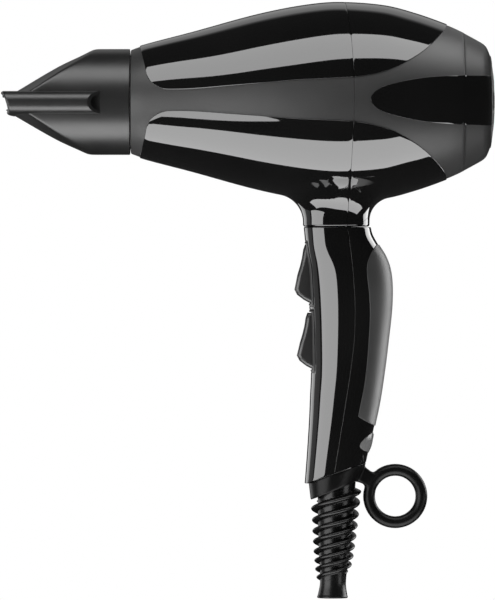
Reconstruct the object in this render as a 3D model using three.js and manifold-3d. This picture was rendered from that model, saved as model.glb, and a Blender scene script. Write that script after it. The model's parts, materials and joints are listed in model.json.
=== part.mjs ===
// A hand-held hair dryer with a concentrator nozzle, as an assembly of separate pieces.
// Millimetres, +Z up. The barrel lies along X with its nozzle at -X, and the part is symmetric about
// the XZ plane. The origin is the middle of the hand grip, straight below the barrel's axis.
// Every piece is written relative to the barrel's axis; the outer group lifts them all into place.
import * as THREE from 'three';
import { mergeVertices } from 'three/addons/utils/BufferGeometryUtils.js';
import Module from 'manifold-3d';

const wasm = await Module();
wasm.setup();

// ---------------------------------------------------------------- driving dimensions
const GRIP_DROP = 110;            // from the barrel's axis down to the middle of the grip
const GAP = 0.3;                  // air between pieces that touch
const BARREL_SIDES = 32;

const BARREL_FRONT = -109.5;
const SEAM_X = 0;
const CAP_SEAM_X = 56.5;
const PANEL_THICKNESS = 1.4;
const WALL = 3.2;                 // outer skin to the housing's inner face

const COLLAR_RADIUS = 26.4;       // outside of the nozzle's collar
const COLLAR_BORE = 24.2;
const SNAP_RING_OUTER = 23.8;
const SNAP_RING_INNER = 22.8;
const SPIGOT_RADIUS = 22.4;
const SPIGOT_BORE = 20.8;
const SPIGOT_FRONT = -123;

const SLOT_HALF_WIDTH = 31.4;     // outside of the nozzle's flat outlet
const SLOT_HALF_HEIGHT = 5.7;
const SLOT_LEVEL = -0.4;
const SLOT_WALL = 2.25;
const CROWN_RADIUS = 94;          // crown of the nozzle's two slanted faces

const NECK_X = -6.75;
const NECK_HALF_LENGTH = 16.75;
const NECK_HALF_WIDTH = 15.5;
const NECK_BOTTOM = -62.2;

const HANDLE_TOP = -62.6;
const HANDLE_WALL = 2.4;
const END_SLOPE = 0.344;          // rise of the handle's end face per mm towards the back
const END_MIDDLE_Z = -185.2;      // end face at the strain relief's axis
const RELIEF_X = -7;

const ROCKER_HALF_WIDTH = 6.1;
const BEZEL_HALF_WIDTH = 8.2;

const BUTTON_TILT = THREE.MathUtils.degToRad(14);

// ---------------------------------------------------------------- finishes
const FINISHES = {
  gloss_black: { color: 0x0b0b0c, roughness: 0.06, metalness: 0 },
  satin_black: { color: 0x2f2f31, roughness: 0.55, metalness: 0 },
  nozzle_black: { color: 0x353537, roughness: 0.5, metalness: 0 },
  grip_grey: { color: 0x55575a, roughness: 0.6, metalness: 0 },
  rubber_black: { color: 0x161617, roughness: 0.5, metalness: 0 },
  button_grey: { color: 0x77797c, roughness: 0.5, metalness: 0 },
  switch_black: { color: 0x1d1d1f, roughness: 0.6, metalness: 0 },
  duct_grey: { color: 0x9b9c9d, roughness: 0.6, metalness: 0 },
  fan_white: { color: 0xd9d8d2, roughness: 0.5, metalness: 0 },
  mica: { color: 0xb9a98a, roughness: 0.7, metalness: 0 },
  heater_wire: { color: 0x8c857c, roughness: 0.4, metalness: 1 },
  steel: { color: 0xa9abad, roughness: 0.35, metalness: 1 },
  lead_red: { color: 0xa32020, roughness: 0.5, metalness: 0 },
  lead_blue: { color: 0x20408f, roughness: 0.5, metalness: 0 },
};
const materials = Object.fromEntries(
  Object.entries(FINISHES).map(([name, look]) => [name, new THREE.MeshStandardMaterial({ name, ...look })]),
);

// ---------------------------------------------------------------- solids
// A closed three.js geometry becomes a solid, with its faces turned outwards first.
function solid(geometry) {
  const bare = geometry.clone();
  bare.deleteAttribute('normal');
  bare.deleteAttribute('uv');
  const merged = mergeVertices(bare, 1e-4);
  const position = merged.attributes.position.array;
  const kept = [];
  for (let i = 0; i < merged.index.count; i += 3) {
    const [a, b, c] = merged.index.array.slice(i, i + 3);
    if (a !== b && b !== c && c !== a) kept.push(a, b, c);
  }
  let volume = 0;
  for (let i = 0; i < kept.length; i += 3) {
    const [p, q, r] = [0, 1, 2].map((k) => new THREE.Vector3().fromArray(position, kept[i + k] * 3));
    volume += p.dot(q.cross(r));
  }
  if (volume < 0) kept.reverse();
  return new wasm.Manifold(new wasm.Mesh({
    numProp: 3,
    vertProperties: new Float32Array(position),
    triVerts: new Uint32Array(kept),
  }));
}

function geometryOf(body) {
  const mesh = body.getMesh();
  const geometry = new THREE.BufferGeometry();
  geometry.setAttribute('position', new THREE.BufferAttribute(new Float32Array(mesh.vertProperties), 3));
  geometry.setIndex(new THREE.BufferAttribute(new Uint32Array(mesh.triVerts), 1));
  geometry.computeVertexNormals();
  return geometry;
}

const union = (...bodies) => bodies.reduce((sum, body) => sum.add(body));

// Turned about the barrel's axis: points are [x, radius], from one end of the axis to the other.
function turned(points, sides = BARREL_SIDES) {
  const profile = points.map(([x, radius]) => new THREE.Vector2(radius, x));
  return solid(new THREE.LatheGeometry(profile, sides).rotateZ(-Math.PI / 2));
}

// A tube about the barrel's axis, or a rod where the bore is 0.
function tubeX(x0, x1, outer, bore = 0, sides = BARREL_SIDES) {
  if (bore === 0) return turned([[x0, 0], [x0, outer], [x1, outer], [x1, 0]], sides);
  return turned([[x0, bore], [x0, outer], [x1, outer], [x1, bore], [x0, bore]], sides);
}

function rod(radius, length, sides = 20) {
  return new THREE.CylinderGeometry(radius, radius, length, sides);
}

const rodX = (radius, x0, x1, y, z, sides) => solid(
  rod(radius, x1 - x0, sides).rotateZ(Math.PI / 2).translate((x0 + x1) / 2, y, z),
);
const rodY = (radius, y0, y1, x, z, sides) => solid(
  rod(radius, y1 - y0, sides).translate(x, (y0 + y1) / 2, z),
);
const rodZ = (radius, z0, z1, x, y, sides) => solid(
  rod(radius, z1 - z0, sides).rotateX(Math.PI / 2).translate(x, y, (z0 + z1) / 2),
);
const block = (x0, x1, y0, y1, z0, z1) => solid(
  new THREE.BoxGeometry(x1 - x0, y1 - y0, z1 - z0).translate((x0 + x1) / 2, (y0 + y1) / 2, (z0 + z1) / 2),
);

// A side-view outline, points [x, z], drawn out along Y from y0 to y1.
function outlineGeometry(points, y0, y1, steps = 1) {
  const shape = new THREE.Shape(points.map(([x, z]) => new THREE.Vector2(x, z)));
  const geometry = new THREE.ExtrudeGeometry(shape, { depth: y1 - y0, bevelEnabled: false, steps });
  return geometry.rotateX(Math.PI / 2).translate(0, y1, 0);
}
const prism = (points, y0 = -80, y1 = 80) => solid(outlineGeometry(points, y0, y1));

// A closed skin whose rings are placed by a function of how far along they are and of their angle.
function loft(rings, sides, place) {
  const geometry = new THREE.CylinderGeometry(1, 1, 1, sides, rings);
  const position = geometry.attributes.position;
  for (let i = 0; i < position.count; i += 1) {
    const reach = Math.min(1, Math.hypot(position.getX(i), position.getZ(i)));
    const angle = Math.atan2(position.getZ(i), position.getX(i));
    const point = place(0.5 - position.getY(i), angle, reach > 0.5 ? 1 : 0);
    position.setXYZ(i, ...point);
  }
  return solid(geometry);
}

// A smooth value between stations [[at, value], ...], level or straight beyond the ends.
function through(stations, at) {
  const last = stations.length - 1;
  const slope = (i) => {
    const lo = stations[Math.max(0, i - 1)];
    const hi = stations[Math.min(last, i + 1)];
    return (hi[1] - lo[1]) / (hi[0] - lo[0]);
  };
  if (at <= stations[0][0]) return stations[0][1] + slope(0) * (at - stations[0][0]);
  if (at >= stations[last][0]) return stations[last][1] + slope(last) * (at - stations[last][0]);
  const i = stations.findIndex(([s]) => s > at) - 1;
  const span = stations[i + 1][0] - stations[i][0];
  const t = (at - stations[i][0]) / span;
  const [a, b, m, n] = [stations[i][1], stations[i + 1][1], slope(i) * span, slope(i + 1) * span];
  return (2 * t ** 3 - 3 * t ** 2 + 1) * a + (t ** 3 - 2 * t ** 2 + t) * m
    + (3 * t ** 2 - 2 * t ** 3) * b + (t ** 3 - t ** 2) * n;
}

// A smooth open curve through points, as a list, moved sideways by grow to its left.
function curve(points, count, grow = 0) {
  const spline = new THREE.SplineCurve(points.map(([x, z]) => new THREE.Vector2(x, z)));
  return spline.getPoints(count).map((p, i) => {
    const along = spline.getTangent(i / count);
    return [p.x - along.y * grow, p.y + along.x * grow];
  });
}

// ---------------------------------------------------------------- the dryer, and how a piece joins it
const dryer = new THREE.Group();
dryer.position.z = GRIP_DROP;

function piece(name, finish, body, parent = dryer) {
  const mesh = new THREE.Mesh(geometryOf(body), materials[finish]);
  mesh.name = name;
  parent.add(mesh);
  return mesh;
}

// ---------------------------------------------------------------- barrel
const BARREL_STATIONS = [
  [BARREL_FRONT, 26.4], [-103, 28.7], [-79, 35], [-47, 43.75], [-23, 48.5], [-4, 50],
  [17, 48.4], [33, 44.3], [49, 38.6], [57, 34.9], [66, 29.6],
];
const barrelRadius = (x) => through(BARREL_STATIONS, x);

function barrelLine(x0, x1, inset, count) {
  return Array.from({ length: count + 1 }, (_, i) => {
    const x = x0 + ((x1 - x0) * i) / count;
    return [x, barrelRadius(x) - inset];
  });
}

// The whole barrel up to the rear cap's seam, inset by some thickness.
function barrelBody(inset, x0 = BARREL_FRONT, x1 = CAP_SEAM_X, count = 10) {
  return turned([[x0, 0], ...barrelLine(x0, x1, inset, count), [x1, 0]]);
}

// Edge of the gloss panels in side view: height above the axis for each x.
const PANEL_EDGE = [
  [-105.2, 30], [-102, 17.6], [-99.5, 9.6], [-93.4, 5.8], [-78, 5.5], [-40, 8.5], [-10, 10.4],
  [9, 12.3], [22, 16.3], [34.7, 23.6], [46.5, 35], [50, 45],
];
function panelRegion(side, grow = 0) {
  const edge = curve(PANEL_EDGE, 18, -grow).map(([x, z]) => [x, z * side]);
  return prism([...edge, [edge.at(-1)[0], side * 75], [edge[0][0], side * 75]]);
}

const TONGUE_EDGE = [[9.5, 0], [12.3, 4.4], [18.5, 7.2], [28, 9.5], [37, 11], [50, 12], [69.5, 12.5]];
function tongueRegion(y0, y1, grow = 0) {
  const edge = curve(TONGUE_EDGE, 8, grow);
  return prism([...edge, ...edge.slice(1).reverse().map(([x, z]) => [x, -z])], y0, y1);
}

// Neck flare: each line runs down from the barrel's skin and turns straight down into the neck.
const FLARE_RINGS = 6;
function neckFlare() {
  return loft(FLARE_RINGS, 28, (along, angle, reach) => {
    const [dx, dy] = [Math.cos(angle), Math.sin(angle)];
    const spread = 19 + 7 * dx;
    const foot = [NECK_X + NECK_HALF_LENGTH * dx, NECK_HALF_WIDTH * dy];
    const far = [NECK_X + (NECK_HALF_LENGTH + spread) * dx, (NECK_HALF_WIDTH + spread * 0.7) * dy];
    const skin = (x, y) => -Math.sqrt(barrelRadius(x) ** 2 - y ** 2);
    if (along === 1 || reach === 0) {
      const inwards = 0.8 * reach;
      return [NECK_X + (far[0] - NECK_X) * inwards, far[1] * inwards, along === 1 ? -20 : NECK_BOTTOM];
    }
    const t = Math.min(1, (along * FLARE_RINGS) / (FLARE_RINGS - 1));
    const top = skin(...far) + 0.1;
    const [a, b] = [(1 - t) ** 2, t ** 2];
    const bend = 2 * t * (1 - t);
    const knee = -54 + 3 * dx * dx;
    return [
      a * foot[0] + bend * foot[0] + b * far[0],
      a * foot[1] + bend * foot[1] + b * far[1],
      a * NECK_BOTTOM + bend * knee + b * top,
    ];
  });
}
const ovalZ = (halfLength, halfWidth, z0, z1) => solid(
  rod(1, z1 - z0, 28).rotateX(Math.PI / 2).scale(halfLength, halfWidth, 1)
    .translate(NECK_X, 0, (z0 + z1) / 2),
);

const flare = neckFlare();
const fullBarrel = barrelBody(0);
const skinned = fullBarrel.add(flare);
const behindPanels = barrelBody(PANEL_THICKNESS, BARREL_FRONT - 2, CAP_SEAM_X + 2);
const neckBore = ovalZ(NECK_HALF_LENGTH - 2.4, NECK_HALF_WIDTH - 2.4, -80, -30);
const halfSpace = (x0, x1) => block(x0, x1, -90, 90, -75, 90);
const frontSide = halfSpace(-200, SEAM_X - GAP / 2);
const rearSide = halfSpace(SEAM_X + GAP / 2, 200);

for (const [level, side] of [['upper', 1], ['lower', -1]]) {
  const cover = skinned.subtract(behindPanels).subtract(neckBore).intersect(panelRegion(side));
  piece(`${level}_front_panel`, 'gloss_black', cover.intersect(frontSide));
  piece(`${level}_rear_panel`, 'gloss_black', cover.intersect(rearSide));
}

// Housing: thin wall, sunk where the panels and tongues lie, open at both ends and over the neck.
const SCREW_POSTS = [[36.9, 21.3], [-36.9, 21.3]];
const underPanels = barrelBody(PANEL_THICKNESS + GAP, BARREL_FRONT - 2, CAP_SEAM_X + 2);
const tongueSpace = tongueRegion(-80, 80, GAP).intersect(halfSpace(9, 80));
const housingHollow = turned([
  [BARREL_FRONT - 3, 0], [BARREL_FRONT - 3, 24.1], [-106.5, 24.1], [-105.5, barrelRadius(-105.5) - WALL],
  ...barrelLine(-104, CAP_SEAM_X + 2, WALL, 6), [CAP_SEAM_X + 2, 0],
]);
let housing = fullBarrel.subtract(housingHollow)
  .subtract(union(panelRegion(1, GAP), panelRegion(-1, GAP), tongueSpace).subtract(underPanels))
  .subtract(ovalZ(NECK_HALF_LENGTH - 1, NECK_HALF_WIDTH - 1, -80, -30));
for (const [y, z] of SCREW_POSTS) {
  housing = housing.add(rodX(4.2, -9, 9, y, z, 12)).subtract(rodX(1.5, -12, 12, y, z, 8));
}
piece('front_shell', 'satin_black', housing.intersect(frontSide));
piece('rear_shell', 'satin_black', housing.intersect(halfSpace(SEAM_X + GAP / 2, CAP_SEAM_X - GAP / 2)));
SCREW_POSTS.forEach(([y, z], i) => {
  const shaft = rodX(1.2, -8, 9.4, y, z, 8);
  piece(`shell_screw_${i + 1}`, 'steel', union(shaft, rodX(2.3, 9.3, 11.2, y, z, 12)));
});

// Rear cap with its corner, grille and filter, pulled straight off to the back.
const CAP_BACK = 70.4;
const capOutline = [
  [CAP_SEAM_X + GAP / 2, barrelRadius(CAP_SEAM_X)], ...barrelLine(59.5, 66, 0, 2), [68.1, 27.9], [69.4, 25.9],
  [CAP_BACK, 22.9], [68.2, 22.9], [67, 25], [64, 28], [61, 29.9], [52, 29.9], [52, 31.4],
  [CAP_SEAM_X + GAP / 2, 31.4],
];
const capBody = turned([...capOutline, capOutline[0]]);
const CAP_TONGUE_BACK = 68.2;
const capTongueSpace = tongueRegion(-80, 80, GAP).intersect(halfSpace(50, CAP_TONGUE_BACK + GAP));
piece('rear_cap', 'satin_black', capBody.subtract(
  capTongueSpace.subtract(barrelBody(PANEL_THICKNESS + GAP, 50, 72, 4)),
));
for (const [side, y0, y1] of [['left', -80, 0], ['right', 0, 80]]) {
  const strip = fullBarrel.subtract(behindPanels).intersect(tongueRegion(y0, y1));
  piece(`${side}_tongue`, 'gloss_black', strip.intersect(halfSpace(9, CAP_SEAM_X - GAP / 2)));
  const capStrip = capBody.subtract(barrelBody(PANEL_THICKNESS, 50, 72, 4))
    .intersect(tongueRegion(y0, y1));
  const capStretch = halfSpace(CAP_SEAM_X + GAP, CAP_TONGUE_BACK);
  piece(`${side}_cap_tongue`, 'gloss_black', capStrip.intersect(capStretch));
}

// Domed inlet grille: rings of slots between ribs.
const GRILLE_RADIUS = 22.6;
const GRILLE_RIB = 1.4;
const domeX = (radius) => 72.3 - 1.9 * (radius / GRILLE_RADIUS) ** 2;
const domeLine = (drop) => [0, 13, GRILLE_RADIUS].map((radius) => [domeX(radius) - drop, radius]);
let grille = turned([...domeLine(1.8), ...domeLine(0).reverse()], 28);
for (const [inner, outer, count] of [[5, 12, 5], [14.5, 20.5, 10]]) {
  for (let i = 0; i < count; i += 1) {
    const angle = (i * 2 * Math.PI) / count;
    const width = (2 * Math.PI * inner) / count - GRILLE_RIB;
    const slot = new THREE.BoxGeometry(12, width, outer - inner);
    grille = grille.subtract(solid(slot.translate(70, 0, (inner + outer) / 2).rotateX(angle)));
  }
}
piece('rear_grille', 'satin_black', grille);
piece('filter_mesh', 'steel', tubeX(58.6, 59.4, 29.4, 0, 28));

// ---------------------------------------------------------------- air path inside the barrel
const OUTLET_X = -117;
piece('front_duct', 'duct_grey', tubeX(SPIGOT_FRONT, -104.6, SPIGOT_RADIUS, SPIGOT_BORE));
let outletGrille = tubeX(OUTLET_X - 1, OUTLET_X + 1, SPIGOT_BORE - GAP, SPIGOT_BORE - 2.3);
outletGrille = outletGrille.add(tubeX(OUTLET_X - 1, OUTLET_X + 1, 11.5, 10, 20));
for (let i = 0; i < 6; i += 1) {
  const spoke = new THREE.BoxGeometry(2, 1.3, i % 2 ? 9.4 : 19.5);
  const middle = i % 2 ? 15.2 : 9.7;
  outletGrille = outletGrille.add(solid(spoke.translate(OUTLET_X, 0, middle).rotateX((i * Math.PI) / 3)));
}
piece('outlet_grille', 'duct_grey', outletGrille);
piece('mica_tube', 'mica', tubeX(-104.2, -32, 23.6, 23));

const BOARD_HALF = 19.6;
const boardLevel = block(-101, -36, -BOARD_HALF, BOARD_HALF, -0.4, 0.4)
  .subtract(block(-68.8, -30, -0.7, 0.7, -2, 2));
const boardUpright = block(-101, -36, -0.4, 0.4, -BOARD_HALF, BOARD_HALF)
  .subtract(block(-110, -68.2, -2, 2, -0.7, 0.7));
piece('mica_board_level', 'mica', boardLevel);
piece('mica_board_upright', 'mica', boardUpright);

// Two heating coils wound over the boards, half a turn of pitch apart.
class Helix extends THREE.Curve {
  constructor(x0, pitch, turns, radius) {
    super();
    Object.assign(this, { x0, pitch, turns, radius });
  }

  getPoint(t, target = new THREE.Vector3()) {
    const angle = t * this.turns * 2 * Math.PI;
    return target.set(
      this.x0 + t * this.turns * this.pitch,
      this.radius * Math.cos(angle),
      this.radius * Math.sin(angle),
    );
  }
}
function wireSection(radius, sides) {
  const shape = new THREE.Shape();
  for (let i = 0; i < sides; i += 1) {
    const angle = (i * 2 * Math.PI) / sides;
    shape[i === 0 ? 'moveTo' : 'lineTo'](radius * Math.cos(angle), radius * Math.sin(angle));
  }
  shape.closePath();
  return shape;
}
function wire(path, radius, sides, steps) {
  return solid(new THREE.ExtrudeGeometry(wireSection(radius, sides), {
    steps, extrudePath: path, bevelEnabled: false,
  }));
}
for (const [name, start] of [['heater_coil_a', -97], ['heater_coil_b', -91]]) {
  piece(name, 'heater_wire', wire(new Helix(start, 12, 4, BOARD_HALF + 1.5), 0.5, 4, 48));
}
piece('thermostat', 'steel', block(-60, -48, 2, 12, 1, 6.5));
piece('thermal_fuse', 'steel', rodX(1.8, -62, -50, -7, 3.4, 12));

// Fan duct: outer tube, stator vanes and the cup that holds the motor.
const DUCT_OUTER = 33.5;
const DUCT_INNER = 32;
const MOTOR_RADIUS = 14;
const DUCT_FRONT = -14;
const CUP_WALL = 1.6;
let fanDuct = tubeX(DUCT_FRONT, 46, DUCT_OUTER, DUCT_INNER, 24)
  .add(tubeX(DUCT_FRONT, 22, MOTOR_RADIUS + GAP + CUP_WALL, MOTOR_RADIUS + GAP, 24));
for (let i = 0; i < 5; i += 1) {
  const vane = new THREE.BoxGeometry(26, 1.5, DUCT_INNER - MOTOR_RADIUS - 0.5);
  vane.rotateZ(0.35).translate(4, 0, (DUCT_INNER + MOTOR_RADIUS + 1.5) / 2).rotateX((i * 2 * Math.PI) / 5);
  fanDuct = fanDuct.add(solid(vane));
}
piece('fan_duct', 'duct_grey', fanDuct);
piece('motor_can', 'steel', tubeX(-13, 21, MOTOR_RADIUS, 1.8, 24));
piece('motor_end_cap', 'switch_black', tubeX(-16.6, -13.3, MOTOR_RADIUS - 1, 1.8, 24));
piece('motor_shaft', 'steel', rodX(1.5, -18, 39.6, 0, 0, 16));
let impeller = tubeX(26, 40, 9, 1.8, 16).add(tubeX(24, 27, 13, 1.8, 16)).add(tubeX(39.9, 42, 9, 0, 16));
for (let i = 0; i < 7; i += 1) {
  const blade = new THREE.BoxGeometry(13, 1.3, 22.4, 1, 1, 2);
  const position = blade.attributes.position;
  for (let k = 0; k < position.count; k += 1) {
    const twist = 0.55 + ((position.getZ(k) + 11.2) / 22.4) * 0.35;
    const [x, y] = [position.getX(k), position.getY(k)];
    position.setX(k, x * Math.cos(twist) - y * Math.sin(twist));
    position.setY(k, x * Math.sin(twist) + y * Math.cos(twist));
  }
  impeller = impeller.add(solid(blade.translate(33, 0, 19.2).rotateX((i * 2 * Math.PI) / 7)));
}
piece('impeller', 'fan_white', impeller);

// ---------------------------------------------------------------- handle
const HANDLE_FRONT_X = [
  [-195, -23], [-175, -21.5], [-159, -20.5], [-147, -20], [-135, -19.5], [-118, -19.8], [-99, -20.5],
  [-80, -21.6], [-62, -23.2],
];
const HANDLE_BACK_X = [
  [-195, 5.2], [-180, 8], [-167, 11], [-151, 14.5], [-135, 17], [-119, 19], [-103, 20.7], [-91, 20.9],
  [-83, 19.8], [-77, 17.6], [-70.5, 13.6], [-66, 11], [-62, 10],
];
const HANDLE_HALF_WIDTH = [[-195, 14.2], [-165, 15.6], [-130, 17], [-95, 17.4], [-75, 16], [-62, 15.5]];
const SQUARENESS = 2.3;

function handleBody(grow, z0 = -200, z1 = HANDLE_TOP, rings = 10) {
  return loft(rings, 22, (along, angle, reach) => {
    const z = z0 + (z1 - z0) * along;
    const front = through(HANDLE_FRONT_X, z) - grow;
    const back = through(HANDLE_BACK_X, z) + grow;
    const halfWidth = through(HANDLE_HALF_WIDTH, z) + grow;
    const round = (v) => Math.sign(v) * Math.abs(v) ** (2 / SQUARENESS) * reach;
    return [
      (front + back) / 2 + ((back - front) / 2) * round(Math.cos(angle)),
      halfWidth * round(Math.sin(angle)),
      z,
    ];
  });
}
const endZ = (x, drop = 0) => END_MIDDLE_Z + END_SLOPE * (x - RELIEF_X) - drop;
const aboveEnd = (drop) => prism([[-60, endZ(-60, drop)], [60, endZ(60, drop)], [60, 0], [-60, 0]]);

// The handle's seam, a shallow bow; the front half lies on its left.
const HANDLE_SEAM = [
  [-1.5, -55], [1, -83], [2.2, -104], [1.3, -123.5], [-3.2, -155], [-7.4, -181], [-10, -200],
];
const frontOfSeam = (grow) => prism([...curve(HANDLE_SEAM, 8, grow), [-60, -205], [-60, -55]]);

const PAD_EDGE = [
  [14.6, -69.6], [10.9, -75], [8.4, -82], [9.6, -98], [9.8, -110], [7.6, -138], [4.5, -155],
];
function padRegion(grow) {
  const edge = curve(PAD_EDGE, 9, -grow);
  return prism([[40, -69.6 + grow], ...edge, [4 - grow, -157 - grow], [8.4, -159.7 - grow], [13, -162 - grow],
    [40, -164 - grow]]);
}

const UPPER_PIVOT = [-17.5, -86.4];
const LOWER_PIVOT = [-16.3, -120.5];
const SWITCHES = {
  upper: { pivot: UPPER_PIVOT, window: [-102, -69.6], name: 'speed' },
  lower: { pivot: LOWER_PIVOT, window: [-135, -103.7], name: 'heat' },
};

const handleOuter = handleBody(0).intersect(aboveEnd(0));
const handleHollow = handleBody(-HANDLE_WALL, -200, HANDLE_TOP + 1).intersect(aboveEnd(-2.6));
const RELIEF_NECK = 6.4;
let handleCase = handleOuter.subtract(handleHollow);
handleCase = handleCase.subtract(rodZ(RELIEF_NECK + GAP, -215, -160, RELIEF_X, 0, 24));
const underPad = handleBody(0.2).subtract(handleBody(-1.4 - GAP));

let frontHalf = handleCase.intersect(frontOfSeam(-GAP / 2));
let rearHalf = handleCase.subtract(frontOfSeam(GAP / 2)).subtract(underPad.intersect(padRegion(GAP)));
for (const { window } of Object.values(SWITCHES)) {
  frontHalf = frontHalf.subtract(block(-40, -13, -BEZEL_HALF_WIDTH - GAP, BEZEL_HALF_WIDTH + GAP, ...window));
}

// Posts for the handle's own screw and for the cord clamp.
const HANDLE_SCREW_Z = -142;
const CLAMP_Z = -152;
const CLAMP_POST_Y = 8;
const insideWall = handleBody(-2);
const frontPost = rodX(3, -22, 8, 0, HANDLE_SCREW_Z, 12).intersect(insideWall);
frontHalf = frontHalf.add(frontPost.intersect(frontOfSeam(-GAP / 2)))
  .subtract(rodX(1.5, -14, 10, 0, HANDLE_SCREW_Z, 8));
const rearPost = rodX(4.2, -4, 20, 0, HANDLE_SCREW_Z, 12).intersect(insideWall);
rearHalf = rearHalf.add(rearPost.subtract(frontOfSeam(GAP / 2)))
  .subtract(rodX(1.5, -14, 30, 0, HANDLE_SCREW_Z, 8))
  .subtract(rodX(2.9, 11.4, 30, 0, HANDLE_SCREW_Z, 12));
for (const y of [-CLAMP_POST_Y, CLAMP_POST_Y]) {
  frontHalf = frontHalf.add(rodX(2.6, -22, -6.3, y, CLAMP_Z, 10).intersect(insideWall))
    .subtract(rodX(1.4, -14, 0, y, CLAMP_Z, 8));
}
piece('handle_screw', 'steel', union(
  rodX(1.2, -12, 12.2, 0, HANDLE_SCREW_Z, 8),
  rodX(2.4, 11.8, 13.6, 0, HANDLE_SCREW_Z, 12),
));
const clampBar = block(-6, -2.6, -11, 11, CLAMP_Z - 3, CLAMP_Z + 3)
  .subtract(rodZ(4.2, CLAMP_Z - 5, CLAMP_Z + 5, -8.6, 0, 20));
piece('cord_clamp', 'switch_black', [-CLAMP_POST_Y, CLAMP_POST_Y].reduce(
  (bar, y) => bar.subtract(rodX(1.4, -10, 0, y, CLAMP_Z, 8)),
  clampBar,
));
[-CLAMP_POST_Y, CLAMP_POST_Y].forEach((y, i) => {
  piece(`clamp_screw_${i + 1}`, 'steel', union(
    rodX(1.1, -12, -2, y, CLAMP_Z, 8),
    rodX(2.3, -2.3, -0.7, y, CLAMP_Z, 12),
  ));
});

// Grip pad, a skin that stands a little proud of the handle's back.
const padSkin = handleBody(0.5).subtract(handleBody(-1.4));
piece('grip_pad', 'grip_grey', padSkin.intersect(padRegion(0)));

// ---------------------------------------------------------------- cool-shot button and its switch
const BUTTON_AT = [9.9, -169];
const buttonGroup = new THREE.Group();
buttonGroup.position.set(BUTTON_AT[0], 0, BUTTON_AT[1]);
buttonGroup.rotation.y = BUTTON_TILT;
dryer.add(buttonGroup);
const buttonHole = solid(
  rod(3.9, 14, 24).rotateZ(Math.PI / 2).rotateY(BUTTON_TILT).translate(BUTTON_AT[0], 0, BUTTON_AT[1]),
);
rearHalf = rearHalf.subtract(buttonHole);
piece('cool_shot_button', 'button_grey', union(
  tubeX(-3.4, 0.9, 3.5, 0, 20),
  tubeX(-4.8, -3.3, 4.4, 0, 20),
), buttonGroup);
piece('cool_shot_spring', 'steel', wire(new Helix(-9.4, 1.1, 4, 2.3), 0.25, 4, 28), buttonGroup);
piece('cool_shot_switch', 'switch_black', block(-14, -9.8, -3.4, 3.4, -4, 4), buttonGroup);

piece('handle_front_half', 'gloss_black', frontHalf);
piece('handle_rear_half', 'gloss_black', rearHalf);

// ---------------------------------------------------------------- rocker switches
// Rocker in side view about its pivot: level face, thumb catch at the bottom and a flat back.
function rockerOutline(height) {
  const bottom = -height + 15.5;
  return [
    [3.5, 14.6], [-4.6, 15.4], [-5.4, 13.4], [-10.3, bottom + 8.6],
    ...curve([[-10.4, bottom + 7.2], [-8.6, bottom + 4.6], [-2.6, bottom]], 5), [3.5, bottom + 0.6],
  ];
}
for (const [level, { pivot, window, name }] of Object.entries(SWITCHES)) {
  const [px, pz] = pivot;
  const height = window[1] - window[0] - 2.8;
  const outline = rockerOutline(height).map(([x, z]) => [x + px, z + pz]);
  const plate = prism(outline, -ROCKER_HALF_WIDTH, ROCKER_HALF_WIDTH);
  piece(`${name}_rocker`, 'switch_black', union(plate, rodY(1.4, -7.4, 7.4, px, pz, 16)));
  const frame = handleBody(0.35, window[0] + GAP, window[1] - GAP, 5)
    .intersect(block(-40, px + 3, -BEZEL_HALF_WIDTH, BEZEL_HALF_WIDTH, -140, -60))
    .subtract(block(-40, 0, -6.5, 6.5, window[0] + 0.9, window[1] - 0.9))
    .subtract(rodY(1.7, -7.7, 7.7, px, pz, 16));
  piece(`${level}_switch_bezel`, 'satin_black', frame);
  piece(`${name}_switch`, 'switch_black', block(-7.5, 1.5, -6.8, 6.8, pz - 11.5, pz + 11.5));
}
piece('suppressor_capacitor', 'duct_grey', block(5, 12, -5.5, 5.5, -106, -92));

// ---------------------------------------------------------------- inner leads
function lead(points, radius = 1.1) {
  const path = new THREE.CatmullRomCurve3(points.map((p) => new THREE.Vector3(...p)));
  return wire(path, radius, 6, 10);
}
for (const [name, finish, side] of [['live', 'lead_red', 1], ['neutral', 'lead_blue', -1]]) {
  piece(`${name}_lead`, finish, lead([
    [-8.6, side * 2, -146.4], [-7.4, side * 4.9, -141],
    [-3.2, side * 4, -137.5], [-3, side * 3.5, -132.6],
  ]));
  piece(`heater_${name}_lead`, finish, lead([
    [-3, side * 4, -74], [-5, side * 5, -66], [-8, side * 6, -56], [-12, side * 7, -46],
    [-18, side * 10, -38], [-24, side * 13, -26], [-29.5, side * 14, -13],
  ]));
}

// ---------------------------------------------------------------- hang loop and strain relief
const COLLAR_DROP = 8.3;
const RING_AT = [22.6, -197];
const betweenPlanes = (upper, lower) => aboveEnd(lower).subtract(aboveEnd(upper));
const collarBody = loft(2, 20, (along, angle, reach) => {
  const z = -203 + 23 * along;
  const left = THREE.MathUtils.lerp(-19.2, -21.9, along);
  const right = THREE.MathUtils.lerp(-1.5, 8.2, along);
  const halfWidth = THREE.MathUtils.lerp(10.5, 13.4, along);
  return [
    (left + right) / 2 + ((right - left) / 2) * Math.cos(angle) * reach,
    halfWidth * Math.sin(angle) * reach,
    z,
  ];
}).intersect(betweenPlanes(GAP, COLLAR_DROP));
const RING_MIDDLE_RADIUS = 13.1;
const RING_THICKNESS = 3;
const ring = solid(
  new THREE.TorusGeometry(RING_MIDDLE_RADIUS, RING_THICKNESS, 8, 24).rotateX(Math.PI / 2)
    .translate(RING_AT[0], 0, RING_AT[1]),
);
const web = prism([
  [0, -184.6], [6.5, -182.8], [12.5, -185.6], [10.4, -189],
  [8.6, -193], [4.6, -190.6], [2.5, -189], [0, -188],
], -2.6, 2.6);
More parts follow.
